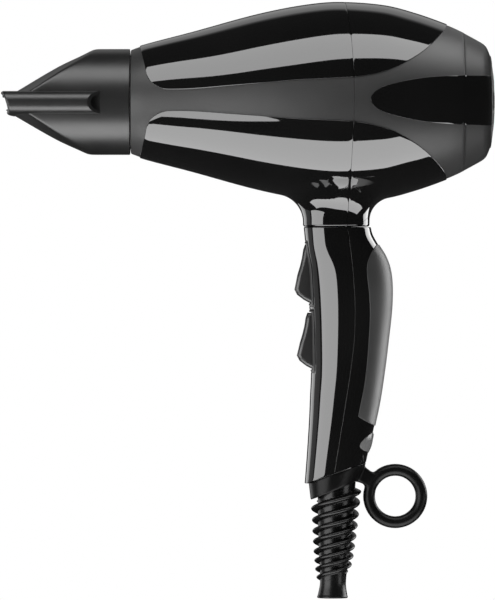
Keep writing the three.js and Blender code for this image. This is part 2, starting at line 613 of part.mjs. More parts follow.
piece('hang_loop', 'rubber_black', union(collarBody, web, ring)
  .subtract(rodZ(RELIEF_NECK + GAP, -215, -160, RELIEF_X, 0, 24))
  .subtract(prism([[-60, endZ(-60, COLLAR_DROP)], [-1, endZ(-1, COLLAR_DROP)], [-1, -220], [-60, -220]])));

// Strain relief: a tapered core wound with three ribs, flared at its foot, leaning back a little.
const RELIEF_FOOT = -248;
const RELIEF_LEAN = -1.8;         // how far the foot stands forward of the head
const CORD_BORE = 4.2;
const CORE_RADIUS = [[-248, 7.9], [-246, 7.3], [-240, 6.5], [-225, 7.6], [-210, 8.6], [-188, 9.6]];
const RIB_REACH = [[-243, 0], [-237.5, 1.7], [-225, 2.5], [-203, 3.1], [-199, 3.1], [-196, 0]];
const RIB_STARTS = 3;
const RIB_NUMBER = [             // heights at which rib number n crosses the dryer's left side
  [-248, -10.2], [-234.6, -7], [-225.9, -5], [-215.8, -3], [-204.8, -1], [-198.8, 0], [-190, 1.5],
];
const reliefX = (z) => RELIEF_X + (RELIEF_LEAN * (z + 199)) / (RELIEF_FOOT + 199);
const reliefWind = loft(34, 16, (along, angle, reach) => {
  const z = RELIEF_FOOT + (58 * along);
  const phase = 2 * Math.PI * through(RIB_NUMBER, z) - RIB_STARTS * (angle + Math.PI / 2);
  const rib = Math.max(0, Math.cos(phase)) ** 0.8 * Math.max(0, through(RIB_REACH, z));
  const radius = (through(CORE_RADIUS, z) + (z > -196 || z < -243 ? 0 : rib)) * reach;
  return [reliefX(z) + radius * Math.cos(angle), radius * Math.sin(angle), z];
}).subtract(aboveEnd(COLLAR_DROP + GAP));
const reliefNeck = rodZ(RELIEF_NECK, -200, -178.5, RELIEF_X, 0, 24);
const reliefFlange = rodZ(9.2, -195, -170, RELIEF_X, 0, 24).intersect(betweenPlanes(-5.2, -2.6 - GAP));
const cordBore = solid(rod(CORD_BORE, 100, 20).rotateX(Math.PI / 2)
  .rotateY(Math.atan2(-RELIEF_LEAN, 199 + RELIEF_FOOT) * -1).translate(reliefX(-215), 0, -215));
piece('strain_relief', 'rubber_black', union(reliefWind, reliefNeck, reliefFlange).subtract(cordBore));

// ---------------------------------------------------------------- concentrator nozzle
const collarBack = BARREL_FRONT - 0.4;
piece('nozzle_snap_ring', 'duct_grey', tubeX(-124, -110.4, SNAP_RING_OUTER, SNAP_RING_INNER));

// Side outline of the wedge, inset by a wall; the faces fall away from the middle with their crown.
function wedge(inset) {
  const outline = [
    [-108, 34], [-119, 31 - inset], [-127, 25.6 - inset], [-146, 16.3 - inset], [-165, 5.2 - inset],
    [-168, 3.4 - inset], [-168, -5.6 + inset], [-147, -17.6 + inset], [-127, -26.8 + inset],
    [-119, -32 + inset], [-108, -34],
  ];
  const geometry = outlineGeometry(outline, -32, 32, 8);
  const position = geometry.attributes.position;
  for (let i = 0; i < position.count; i += 1) {
    const fall = position.getY(i) ** 2 / (2 * CROWN_RADIUS);
    const share = Math.min(1, Math.abs(position.getZ(i)) / 6);
    position.setZ(i, position.getZ(i) - Math.sign(position.getZ(i)) * fall * share);
  }
  return solid(geometry);
}

// Flat outlet: a bar with round edges whose front is slanted and bows forward in the middle.
function outletBar(halfWidth, halfHeight, back, front, shaped) {
  return loft(3, 24, (along, angle, reach) => {
    const spread = THREE.MathUtils.clamp(2.2 * Math.sin(angle), -1, 1);
    const y = ((halfWidth - halfHeight) * spread + halfHeight * Math.sin(angle)) * reach;
    const flat = Math.abs(Math.sin(angle)) < 1 / 2.2;
    const z = (flat ? Math.sign(Math.cos(angle)) * 0.97 : Math.cos(angle)) * halfHeight * reach;
    const tip = shaped ? front - 0.308 * z - 2.2 * (1 - (y / halfWidth) ** 2) : front;
    return [back + (tip - back) * along, y, z + SLOT_LEVEL];
  });
}
const INLET_FRONT = -131;
const INLET_BACK = -124.6;
const wedgeOuter = wedge(0).intersect(tubeX(-170, collarBack, COLLAR_RADIUS));
const barOuter = outletBar(SLOT_HALF_WIDTH, SLOT_HALF_HEIGHT, INLET_BACK, -170.7, true);
const wedgeInner = wedge(2.4).intersect(tubeX(-166, -118, COLLAR_RADIUS - 2.2));
const barInner = outletBar(
  SLOT_HALF_WIDTH - SLOT_WALL,
  SLOT_HALF_HEIGHT - SLOT_WALL,
  INLET_FRONT - 0.5,
  -185,
  false,
);
const collarHollow = tubeX(-126.5, -100, COLLAR_BORE);

// The air inlets at the sides: the bar's back corners are cut off at a slant.
function inletCut(side) {
  const shape = new THREE.Shape([
    new THREE.Vector2(INLET_BACK + 1, side * (COLLAR_RADIUS + 0.1)),
    new THREE.Vector2(INLET_BACK, side * (COLLAR_RADIUS + 0.1)),
    new THREE.Vector2(INLET_FRONT - 1, side * (SLOT_HALF_WIDTH + 1)),
    new THREE.Vector2(INLET_BACK + 1, side * (SLOT_HALF_WIDTH + 1)),
  ]);
  const depth = 14;
  const geometry = new THREE.ExtrudeGeometry(shape, { depth, bevelEnabled: false });
  return solid(geometry.translate(0, 0, SLOT_LEVEL - depth / 2));
}
const INLET_FLOOR = 24.9;         // the chamber's side wall goes on behind each inlet
const inletHole = outletBar(SLOT_HALF_WIDTH - 1.5, SLOT_HALF_HEIGHT - 1.5, INLET_BACK - 0.1, -145, false)
  .subtract(block(INLET_FRONT - 0.5, INLET_BACK + 1, -INLET_FLOOR, INLET_FLOOR, -9, 9));
const nozzle = union(wedgeOuter, barOuter)
  .subtract(inletCut(1))
  .subtract(inletCut(-1))
  .subtract(union(wedgeInner, barInner, collarHollow, inletHole));
piece('nozzle_shell', 'nozzle_black', nozzle);

export default dryer;
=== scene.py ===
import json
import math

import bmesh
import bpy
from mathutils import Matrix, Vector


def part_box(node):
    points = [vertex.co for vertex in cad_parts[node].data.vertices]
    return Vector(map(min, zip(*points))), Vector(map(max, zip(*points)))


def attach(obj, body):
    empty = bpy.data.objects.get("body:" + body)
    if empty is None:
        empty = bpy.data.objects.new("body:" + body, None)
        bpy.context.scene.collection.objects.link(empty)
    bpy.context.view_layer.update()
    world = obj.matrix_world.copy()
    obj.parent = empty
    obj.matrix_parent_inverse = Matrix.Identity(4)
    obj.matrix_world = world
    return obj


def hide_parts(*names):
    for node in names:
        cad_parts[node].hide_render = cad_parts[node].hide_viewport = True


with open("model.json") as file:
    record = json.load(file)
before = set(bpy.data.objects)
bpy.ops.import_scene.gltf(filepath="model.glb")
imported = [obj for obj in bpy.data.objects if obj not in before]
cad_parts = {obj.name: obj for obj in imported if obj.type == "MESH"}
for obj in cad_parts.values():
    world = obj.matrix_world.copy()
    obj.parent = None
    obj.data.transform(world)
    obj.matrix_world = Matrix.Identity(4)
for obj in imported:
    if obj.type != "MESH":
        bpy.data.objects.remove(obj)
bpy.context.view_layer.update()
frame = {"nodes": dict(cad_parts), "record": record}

# %% [markdown]
# # A hair dryer, dressed over its frame
# The frame holds every solid of the dryer at its real place and size, with its joints. This lesson
# puts the fine outer surfaces over those solids. Each cell shapes one piece as it is moulded, in
# millimetres about the barrel's axis, and one helper at the end of the modelling cells sets it in
# the frame. The first code cell reads the box of the frame's front duct, whose middle gives the
# height of the barrel's axis.

MM = 0.001
duct_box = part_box("front_duct")
AXIS_HEIGHT = (duct_box[0].z + duct_box[1].z) / 2

# %% [markdown]
# ## Driving sizes
# A moulder's drawing gives a few stations along each part and a fair curve through them. The same
# is done here: a table holds places and values, and `through` runs a smooth curve through them.
# The barrel is one turned shape, so one table of radii carries the shells, the gloss covers, the
# tongues and the rear cap.

# %% Smooth values between stations
GAP = 0.1
FINE_ROUNDING = 0.1               # rounding of the rims along a butted joint
BARREL_FRONT = -109.5
CAP_SEAM = 56.5
CAP_BACK = 70.4
WIDEST = 50.0
BARREL_STATIONS = [
    (BARREL_FRONT, 26.4), (-103, 28.7), (-79, 35), (-47, 43.75), (-23, 48.5), (-4, WIDEST),
    (17, 48.4), (33, 44.3), (49, 38.6), (57, 34.9), (66, 29.6),
]


def through(stations, at):
    """A smooth value at one place, from stations (place, value), straight beyond the ends."""
    last = len(stations) - 1

    def slope(i):
        low, high = stations[max(0, i - 1)], stations[min(last, i + 1)]
        return (high[1] - low[1]) / (high[0] - low[0])

    if at <= stations[0][0]:
        return stations[0][1] + slope(0) * (at - stations[0][0])
    if at >= stations[last][0]:
        return stations[last][1] + slope(last) * (at - stations[last][0])
    i = next(n for n in range(last) if at < stations[n + 1][0])
    (x0, y0), (x1, y1) = stations[i], stations[i + 1]
    span = x1 - x0
    t = (at - x0) / span
    m0, m1 = slope(i) * span, slope(i + 1) * span
    return ((2 * t**3 - 3 * t**2 + 1) * y0 + (t**3 - 2 * t**2 + t) * m0
            + (3 * t**2 - 2 * t**3) * y1 + (t**3 - t**2) * m1)


def mix(a, b, t):
    return a + (b - a) * t


def barrel_radius(x):
    return through(BARREL_STATIONS, x)


print("widest barrel radius", round(max(barrel_radius(x) for x in range(-109, 56)), 2), "mm")

# %% [markdown]
# ## From a flat sheet to a moulded cover
# A moulded cover is a thin plate with one fair outer face, an inner face at an even distance and
# rounded edges. It could be carved out of a block with Boolean cuts, but a cut leaves long thin
# faces that show as dents in a gloss surface. So a cover starts as a grid, each corner of the grid
# moves to its place on the curved surface, `solidify` gives it its wall, and `bevel` rounds the rim.

# %% A sheet, its outer side and its wall
def sheet(columns, rows, place):
    """A grid whose corners move to place(u, v), with u and v running from 0 to 1."""
    bm = bmesh.new()
    bmesh.ops.create_grid(bm, x_segments=columns, y_segments=rows, size=0.5)
    for vert in bm.verts:
        vert.co = place(vert.co.x + 0.5, vert.co.y + 0.5)
    return bm


def turn_outwards(bm, middle):
    """Make a sheet's faces look away from a place inside the dryer, given for each face."""
    bmesh.ops.recalc_face_normals(bm, faces=bm.faces[:])
    score = sum(face.normal.dot(face.calc_center_median() - middle(face.calc_center_median()))
                for face in bm.faces)
    if score < 0:
        bmesh.ops.reverse_faces(bm, faces=bm.faces[:])


def barrel_middle(co):
    return Vector((co.x, 0, 0))


def round_edges(bm, edges, radius, steps=3):
    bmesh.ops.bevel(
        bm, geom=edges, offset=radius, offset_type="OFFSET", segments=steps, profile=0.5,
        affect="EDGES", material=-1, clamp_overlap=True,
    )


def plate(bm, thickness, rounding, fine=None, middle=barrel_middle):
    """Give a sheet its wall and round its outer rim; fine(co) marks a rim with a smaller radius."""
    turn_outwards(bm, middle)
    rim = {vert for edge in bm.edges if edge.is_boundary for vert in edge.verts}
    bmesh.ops.solidify(bm, geom=bm.faces[:], thickness=thickness)

    def outer_rim():
        return [edge for edge in bm.edges
                if edge.verts[0] in rim and edge.verts[1] in rim and len(edge.link_faces) == 2
                and edge.calc_face_angle() > math.radians(40)]

    edges = outer_rim()
    if fine:
        small = [edge for edge in edges if all(fine(vert.co) for vert in edge.verts)]
        round_edges(bm, small, FINE_ROUNDING, 2)
        edges = [edge for edge in edges if edge.is_valid and edge not in small]
    if rounding:
        round_edges(bm, edges, rounding)
    return bm


sample = sheet(2, 3, lambda u, v: Vector((u, v, 0)))
print("a sheet of 2 by 3 has", len(sample.faces), "faces")
sample.free()

# %% Outlines pushed out and outlines turned
def pushed_out(corners, along):
    """A flat outline pushed out along a vector to a closed block."""
    bm = bmesh.new()
    face = bm.faces.new([bm.verts.new(corner) for corner in corners])
    pushed = bmesh.ops.extrude_face_region(bm, geom=[face])
    moved = [item for item in pushed["geom"] if isinstance(item, bmesh.types.BMVert)]
    bmesh.ops.translate(bm, vec=along, verts=moved)
    bmesh.ops.recalc_face_normals(bm, faces=bm.faces[:])
    return bm


def turned(profile, steps=160):
    """A closed outline of (x, radius) turned once round the barrel's axis."""
    bm = bmesh.new()
    verts = [bm.verts.new((x, 0, radius)) for x, radius in profile]
    edges = [bm.edges.new((verts[i - 1], verts[i])) for i in range(len(verts))]
    bmesh.ops.spin(
        bm, geom=verts + edges, cent=(0, 0, 0), axis=(1, 0, 0), angle=2 * math.pi, steps=steps,
        use_merge=True,
    )
    return bm


block = pushed_out([(0, 0, 0), (10, 0, 0), (10, 0, 10), (0, 0, 10)], (0, 10, 0))
print("a block has", len(block.faces), "faces")

# %% [markdown]
# ## Joining and cutting
# Where two closed shapes meet in a real corner, as the flat outlet does with the nozzle's body,
# a Boolean is the honest way. The newer Manifold solver is quick and keeps both shapes closed.
# The shapes are meshes that live only as long as the cut takes.

# %% One helper for joins and cuts
def combined(bm, other, operation):
    """Join two closed shapes (UNION) or cut the second out of the first (DIFFERENCE)."""
    objects = []
    for part in (bm, other):
        mesh = bpy.data.meshes.new("passing")
        bmesh.ops.recalc_face_normals(part, faces=part.faces[:])
        part.to_mesh(mesh)
        part.free()
        holder = bpy.data.objects.new("passing", mesh)
        bpy.context.scene.collection.objects.link(holder)
        objects.append(holder)
    boolean = objects[0].modifiers.new("cut", "BOOLEAN")
    boolean.operation = operation
    boolean.solver = "MANIFOLD"
    boolean.object = objects[1]
    result = bmesh.new()
    result.from_object(objects[0], bpy.context.evaluated_depsgraph_get())
    for holder in objects:
        mesh = holder.data
        bpy.data.objects.remove(holder)
        bpy.data.meshes.remove(mesh)
    return result


tool = pushed_out([(5, -5, 5), (20, -5, 5), (20, -5, 20), (5, -5, 20)], (0, 30, 0))
sample = combined(block, tool, "DIFFERENCE")
print("the block with one edge cut away has", len(sample.faces), "faces")
sample.free()

# %% [markdown]
# ## Setting a piece in the frame
# The joint between the two housing halves isn't a plane: it bows forward towards the top and the
# bottom. Every barrel piece is shaped with a straight joint first, and this bow is put in at the
# end, so that both sides of the joint always fit each other. The helper then turns millimetres
# into metres, lifts the piece to the barrel's axis, shades it smooth but for its true edges, and
# lets it ride on its body in place of the frame's solid.

# %% The bow of the housing joint, and the finishing helper
def seam_bow(z):
    return 1.5 - 4 * (z / 50) ** 2 if z > 0 else 1.5 - 3 * (abs(z) / 60) ** 1.2


def set_in_frame(name, bm, finish_name, body, replaced, bowed=False, sharp=38):
    """Finish a piece in metres at the axis, with its finish, on its body in place of the replaced solids.
    """
    bmesh.ops.remove_doubles(bm, verts=bm.verts[:], dist=1e-4)
    bmesh.ops.recalc_face_normals(bm, faces=bm.faces[:])
    if bowed:
        for vert in bm.verts:
            near = max(0.0, 1 - abs(vert.co.x) / 26) ** 2
            vert.co.x += seam_bow(vert.co.z) * near
    bmesh.ops.scale(bm, vec=(MM, MM, MM), verts=bm.verts[:])
    bmesh.ops.translate(bm, vec=(0, 0, AXIS_HEIGHT), verts=bm.verts[:])
    mesh = bpy.data.meshes.new(name)
    bm.to_mesh(mesh)
    bm.free()
    for polygon in mesh.polygons:
        polygon.use_smooth = True
    mesh.set_sharp_from_angle(angle=math.radians(sharp))
    mesh.materials.append(FINISHES[finish_name])
    piece = bpy.data.objects.new(name, mesh)
    bpy.context.scene.collection.objects.link(piece)
    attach(piece, body)
    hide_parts(*replaced)
    print(name, len(mesh.polygons), "faces")
    return piece


# %% [markdown]
# ## Finishes
# Moulded plastic is never one flat colour: the polished covers carry faint waves and a little dust,
# the satin shells a spark-eroded grain, and the rubber a coarser one. Image maps would need an
# unwrapped mesh, so every finish is built from noise in object coordinates, which lie in metres on
# every piece alike. What several finishes share is made once, as node groups for grain, for handled
# patches that are a little glossier or duller, and for a slow drift of the colour.

# %% Helpers for shader nodes
def group(name, inputs, outputs):
    tree = bpy.data.node_groups.new(name, "ShaderNodeTree")
    for label, kind, value in inputs:
        tree.interface.new_socket(label, in_out="INPUT", socket_type=kind).default_value = value
    for label, kind in outputs:
        tree.interface.new_socket(label, in_out="OUTPUT", socket_type=kind)
    return tree, tree.nodes.new("NodeGroupInput"), tree.nodes.new("NodeGroupOutput")


def noise(tree, scale, detail=2.0, coordinates=None):
    """A noise texture on object coordinates; scale is a number or a socket."""
    if coordinates is None:
        coordinates = tree.nodes.new("ShaderNodeTexCoord").outputs["Object"]
    texture = tree.nodes.new("ShaderNodeTexNoise")
    tree.links.new(coordinates, texture.inputs["Vector"])
    texture.inputs["Detail"].default_value = detail
    if isinstance(scale, (int, float)):
        texture.inputs["Scale"].default_value = scale
    else:
        tree.links.new(scale, texture.inputs["Scale"])
    return texture.outputs["Fac"]


def ranged(tree, value, low, high, from_low=0.3, from_high=0.7):
    """Spread a value's useful range over low to high, either of them a number or a socket."""
    node = tree.nodes.new("ShaderNodeMapRange")
    tree.links.new(value, node.inputs["Value"])
    node.inputs["From Min"].default_value = from_low
    node.inputs["From Max"].default_value = from_high
    for socket, given in (("To Min", low), ("To Max", high)):
        if isinstance(given, (int, float)):
            node.inputs[socket].default_value = given
        else:
            tree.links.new(given, node.inputs[socket])
    return node.outputs["Result"]


print("node groups so far", len(bpy.data.node_groups))

# %% Grain, handled patches and colour drift
FLOAT, COLOUR = "NodeSocketFloat", "NodeSocketColor"

grain_group, given, result = group(
    "moulded_grain", [("Cells per metre", FLOAT, 3000.0)], [("Height", FLOAT)],
)
coarse = noise(grain_group, given.outputs["Cells per metre"], 1.0)
pits = grain_group.nodes.new("ShaderNodeTexVoronoi")
pits.feature = "SMOOTH_F1"
grain_group.links.new(grain_group.nodes.new("ShaderNodeTexCoord").outputs["Object"], pits.inputs["Vector"])
grain_group.links.new(given.outputs["Cells per metre"], pits.inputs["Scale"])
blend = grain_group.nodes.new("ShaderNodeMath")
blend.operation = "ADD"
grain_group.links.new(coarse, blend.inputs[0])
grain_group.links.new(pits.outputs["Distance"], blend.inputs[1])
grain_group.links.new(blend.outputs[0], result.inputs["Height"])

handled_group, given, result = group(
    "handled_patches", [("Low", FLOAT, 0.3), ("High", FLOAT, 0.4), ("Patches per metre", FLOAT, 30.0)],
    [("Roughness", FLOAT)],
)
handled_group.links.new(
    ranged(handled_group, noise(handled_group, given.outputs["Patches per metre"], 4.0),
           given.outputs["Low"], given.outputs["High"]),
    result.inputs["Roughness"],
)

drift_group, given, result = group(
    "colour_drift",
    [("Colour", COLOUR, (0.1, 0.1, 0.1, 1)), ("Other colour", COLOUR, (0.12, 0.12, 0.12, 1)),
     ("Patches per metre", FLOAT, 40.0)],
    [("Colour", COLOUR)],
)
blend = drift_group.nodes.new("ShaderNodeMix")
blend.data_type = "RGBA"
drift_group.links.new(
    ranged(drift_group, noise(drift_group, given.outputs["Patches per metre"], 3.0), 0.0, 1.0),
    blend.inputs["Factor"],
)
drift_group.links.new(given.outputs["Colour"], blend.inputs["A"])
drift_group.links.new(given.outputs["Other colour"], blend.inputs["B"])
drift_group.links.new(blend.outputs["Result"], result.inputs["Colour"])
print("shared groups", [tree.name for tree in bpy.data.node_groups])

# %% One helper that builds a finish from the groups
def use_group(tree, shared, **values):
    node = tree.nodes.new("ShaderNodeGroup")
    node.node_tree = shared
    for label, value in values.items():
        node.inputs[label.replace("_", " ")].default_value = value
    return node


FINISHES = {}


def finish(name, colour, other, rough, grain=3000.0, depth=0.00002, patches=35.0, metal=0.0, specular=0.5,
           coat=0.0, coat_rough=0.03, ior=1.5):
    """A material whose colour drifts between two values, with handled patches and a fine grain."""
    material = bpy.data.materials.new(name)
    material.use_nodes = True
    tree = material.node_tree
    shader = tree.nodes["Principled BSDF"]
    drift = use_group(tree, drift_group, Colour=(*colour, 1), Other_colour=(*other, 1),
                      Patches_per_metre=patches)
    tree.links.new(drift.outputs["Colour"], shader.inputs["Base Color"])
    handled = use_group(tree, handled_group, Low=rough[0], High=rough[1], Patches_per_metre=patches * 1.7)
    tree.links.new(handled.outputs["Roughness"], shader.inputs["Roughness"])
    moulded = use_group(tree, grain_group, Cells_per_metre=grain)
    bump = tree.nodes.new("ShaderNodeBump")
    bump.inputs["Strength"].default_value = 1.0
    bump.inputs["Distance"].default_value = depth
    tree.links.new(moulded.outputs["Height"], bump.inputs["Height"])
    tree.links.new(bump.outputs["Normal"], shader.inputs["Normal"])
    shader.inputs["Metallic"].default_value = metal
    shader.inputs["IOR"].default_value = ior
    shader.inputs["Specular IOR Level"].default_value = specular
    shader.inputs["Coat Weight"].default_value = coat
    shader.inputs["Coat Roughness"].default_value = coat_rough
    FINISHES[name] = material


def grey(value, warm=0.0):
    return (value * (1 + warm), value, value * (1 - warm))


print("a slightly warm white", grey(0.7, 0.015))

# %% The dryer's finishes
finish("gloss_black", grey(0.0025), grey(0.0045), (0.03, 0.05), 160.0, 0.000002, 22.0,
       specular=0.9, coat=1.0, coat_rough=0.012)
finish("satin_black", grey(0.027), grey(0.033), (0.4, 0.45), 2600.0, 0.000025, specular=0.6)
finish("nozzle_black", grey(0.005), grey(0.008), (0.33, 0.38), 3400.0, 0.00001, specular=1.0)
finish("grip_grey", grey(0.026), grey(0.034), (0.4, 0.46), 2200.0, 0.00003, specular=0.8)
finish("dish_grey", grey(0.12), grey(0.15), (0.2, 0.26), 2600.0, 0.00001, specular=0.8)
finish("rubber_black", grey(0.002), grey(0.0035), (0.29, 0.35), 1800.0, 0.000014, specular=0.24)
finish("relief_black", grey(0.002), grey(0.003), (0.24, 0.3), 1800.0, 0.000012, specular=0.5)
finish("button_grey", grey(0.17), grey(0.2), (0.4, 0.5), 2600.0, 0.00002)
finish("switch_black", grey(0.012), grey(0.016), (0.27, 0.33), 2600.0, 0.000008, specular=1.0)
finish("duct_grey", grey(0.30), grey(0.34), (0.5, 0.6), 2000.0, 0.00003)
finish("fan_white", grey(0.66, 0.02), grey(0.7, 0.015), (0.42, 0.5), 2000.0, 0.00002)
finish("mica", (0.42, 0.35, 0.24), (0.52, 0.46, 0.34), (0.55, 0.75), 900.0, 0.00008, 400.0)
finish("heater_wire", (0.30, 0.26, 0.22), (0.38, 0.33, 0.26), (0.35, 0.5), 4000.0, 0.00002, 300.0, 1.0)
finish("steel", grey(0.5), grey(0.56), (0.28, 0.4), 2400.0, 0.000016, 200.0, 1.0)
finish("lead_red", (0.36, 0.012, 0.010), (0.42, 0.02, 0.015), (0.4, 0.5), 2400.0, 0.00002)
finish("lead_blue", (0.012, 0.045, 0.26), (0.018, 0.06, 0.32), (0.4, 0.5), 2400.0, 0.00002)
print("finishes", len(FINISHES))

# %% [markdown]
# ## Satin housing
# The housing is two shells, front and rear, butted together at the middle of the barrel. Only its
# side arms, its front ring and its rear quarter show between the gloss covers. As both are turned
# shapes, one outline with its wall, spun once round, gives them without any seam in the surface.
# They lie half a millimetre lower than the covers, whose rounded rims then stand out.

# %% Front shell, rear shell and rear cap
SINK = 0.5
WALL = 3.2
SPIGOT_SEAT = 24.1


def skin_line(x0, x1, count, inset):
    return [(mix(x0, x1, i / count), barrel_radius(mix(x0, x1, i / count)) - inset)
            for i in range(count + 1)]


front_shell = turned(
    skin_line(-GAP / 2, BARREL_FRONT + 1.0, 84, SINK)
    + [(BARREL_FRONT + 0.3, 26.0), (BARREL_FRONT, 25.5), (BARREL_FRONT, SPIGOT_SEAT), (-106.5, SPIGOT_SEAT)]
    + skin_line(-105.5, -GAP / 2, 40, WALL)
)
set_in_frame("front_shell_skin", front_shell, "satin_black", "housing", ["front_shell"], bowed=True)

rear_shell = turned(
    skin_line(GAP / 2, CAP_SEAM - 0.12, 44, SINK)
    + [(CAP_SEAM - GAP / 2, barrel_radius(CAP_SEAM) - SINK - 0.05)]
    + skin_line(CAP_SEAM - GAP / 2, GAP / 2, 24, WALL)
)
set_in_frame("rear_shell_skin", rear_shell, "satin_black", "housing", ["rear_shell"], bowed=True)

# The cap's outline runs from its seam along the barrel's taper and round the rear corner.
CAP_X = [
    (56.5, 56.5), (61, 61), (65.4, 65.4), (66.9, 66.8), (68.4, 68), (69.8, 68.75), (71.4, 69.45),
    (73, 70.05), (74.6, CAP_BACK),
]
CAP_RADIUS = [
    (56.5, 35.1), (61, 32.65), (65.4, 30.2), (66.9, 29.25), (68.4, 28), (69.8, 26.6), (71.4, 24.9),
    (73, 23.4), (74.6, 22.7),
]
CAP_TURN = 74.4


def cap_line(at):
    """Place and radius on the cap's skin for a distance along it, counted from the barrel's x."""
    return through(CAP_X, at), through(CAP_RADIUS, at)


cap_skin = []
for i in range(41):
    x, radius = cap_line(mix(CAP_SEAM + GAP / 2, CAP_TURN, i / 40))
    cap_skin.append((x, radius - SINK))
cap_skin[0] = (CAP_SEAM + 0.12, barrel_radius(CAP_SEAM) - SINK)
cap_seam_edge = [(CAP_SEAM + GAP / 2, 31.4), (CAP_SEAM + GAP / 2, barrel_radius(CAP_SEAM) - SINK - 0.05)]
rear_cap = turned(
    cap_seam_edge + cap_skin
    + [(CAP_BACK - 0.1, 22.9), (68.2, 22.9), (67, 25), (64, 28), (61, 29.9), (52, 29.9), (52, 31.4)]
)
set_in_frame("rear_cap_skin", rear_cap, "satin_black", "rear_cap", ["rear_cap"])

# %% [markdown]
# ## Gloss covers
# A long gloss cover wraps the top of the barrel and another the underside, each in a front and a
# rear half. In side view a cover's edge drops steeply near the front, turns a tight corner, runs
# back as a nearly straight line and climbs again over the rear quarter. That one side-view line
# gives, for each place along the barrel, how far round the cover reaches. The grid's long sides
# follow it, and its short side at the front or rear is where the line crosses the chosen angle.

# %% The covers' edge in side view
COVER_EDGE = [
    (-106.5, 33), (-104.8, 27), (-102.3, 17.6), (-101.3, 12.9), (-99.5, 9.6), (-96.3, 7.1), (-93.4, 5.8),
    (-90.3, 5.3), (-78, 5.5), (-59, 7), (-40, 8.5), (-27, 9.6), (-10, 10.4), (1.5, 11.2), (9, 12.3),
    (15, 13.7), (22, 16.3), (28.6, 19.7), (34.7, 23.6), (40.3, 28.3), (46.5, 35), (48, 38), (49.5, 42),
]
COVER_THICKNESS = 1.4
COVER_ROUNDING = 0.65
FRONT_CORNER = -99.5
REAR_CORNER = 29.0


def cover_angle(x):
    """How far round from the top a cover reaches at one place along the barrel."""
    return math.acos(min(1.0, through(COVER_EDGE, x) / barrel_radius(x)))


def crossing(outside, inside, test):
    """The place between two others where test changes from false to true."""
    for _ in range(30):
        middle = (outside + inside) / 2
        if test(middle):
            inside = middle
        else:
            outside = middle
    return inside


def on_cover(x, angle):
    return barrel_radius(x) * math.cos(angle) > through(COVER_EDGE, x)


def cover_end(x_corner, outside, inside):
    """The short side of a cover, as a function of w from -1 to 1 across it."""
    reach = cover_angle(x_corner)
    return lambda w: crossing(outside, inside, lambda x: on_cover(x, w * reach)) if abs(w) < 1 else x_corner


print("at x -40 a cover reaches", round(math.degrees(cover_angle(-40))), "degrees from the top")

# %% A patch of skin that follows the edge, and both upper covers
def straight_at(x):
    return lambda w: x


def barrel_line(x):
    return x, barrel_radius(x)


def skin_patch(columns, rows, start, stop, half_angle, middle, lift=0.0, line=barrel_line):
    """A patch of the barrel's skin between two short sides, about a middle angle from the top."""
    def place(u, v):
        w = 2 * v - 1
        side = mix(start(1), stop(1), u)
        x, radius = line(mix(start(w), stop(w), u))
        angle = middle + w * half_angle(side)
        radius += lift
        return Vector((x, radius * math.sin(angle), radius * math.cos(angle)))
    return sheet(columns, rows, place)


def at_joint(co):
    return abs(co.x) < 0.5


front_end = cover_end(FRONT_CORNER, -106.4, -94)
rear_end = cover_end(REAR_CORNER, 49.4, 20)
upper_front = skin_patch(84, 96, front_end, straight_at(-GAP / 2), cover_angle, 0)
plate(upper_front, COVER_THICKNESS, COVER_ROUNDING, at_joint)
set_in_frame("upper_front_cover", upper_front, "gloss_black", "housing", ["upper_front_panel"], bowed=True)
upper_rear = skin_patch(44, 96, straight_at(GAP / 2), rear_end, cover_angle, 0)
plate(upper_rear, COVER_THICKNESS, COVER_ROUNDING, at_joint)
set_in_frame("upper_rear_cover", upper_rear, "gloss_black", "housing", ["upper_rear_panel"], bowed=True)

# %% [markdown]
# ## Underside covers with the neck
# The two lower covers run down into the handle's neck in one smooth flare, so a patch laid along
# the barrel would tear there. Their grid is a fan instead: its rays start on the neck's foot, rise
# straight, lean out in an arc, in a second and flatter arc on the flanks, until they lie in the
# barrel's skin, and go on over the skin to the cover's edge. A ray's arcs have drawn radii, and the
# lean at which they meet the skin without a crease is found by halving, as is the cover's edge.

# %% The neck's foot and the flare's arcs
NECK_X = -6.6
NECK_HALF_LENGTH = 16.9
NECK_HALF_WIDTH = 15.5
NECK_SQUARENESS = 2.65
NECK_BOTTOM = -62.35
NECK_EDGE = 1.1                   # rounding of the neck's lower edge
FRONT_FLARE = 14.0                # radii of the arcs towards the nozzle, the rear and the flanks
REAR_FLARE = 11.2
FLANK_FLARE = 15.0
FLATTER = 85.0                    # by how much the flank's second arc is flatter
FLANK_LIMIT = 42.0                # past this width the barrel's side is too steep to land on
FIRST_LEAN = math.radians(43)     # where the flank's arc turns into the flatter one
RAY_ROWS = (9, 30, 30)            # rows on the upright foot, on the arcs and on the barrel's skin


def neck_reach(x0, dx, dy):
    """How far the neck's squarish oval lies from (x0, 0) in one direction."""
    def outside(distance):
        u = abs(x0 + distance * dx - NECK_X) / NECK_HALF_LENGTH
        v = abs(distance * dy) / NECK_HALF_WIDTH
        return u**NECK_SQUARENESS + v**NECK_SQUARENESS > 1
    return crossing(0.0, 40.0, outside)


def skin_below(x, y):
    return -math.sqrt(barrel_radius(x) ** 2 - y * y)


def flare_step(lean, first, second):
    """How far out and up the two arcs have come at one lean from upright."""
    bend = min(lean, FIRST_LEAN)
    out, up = first * (1 - math.cos(bend)), first * math.sin(bend)
    if lean > bend:
        out += second * (math.cos(bend) - math.cos(lean))
        up += second * (math.sin(lean) - math.sin(bend))
    return out, up


print("neck", round(neck_reach(NECK_X, 0, 1) * 2, 1), "mm wide")

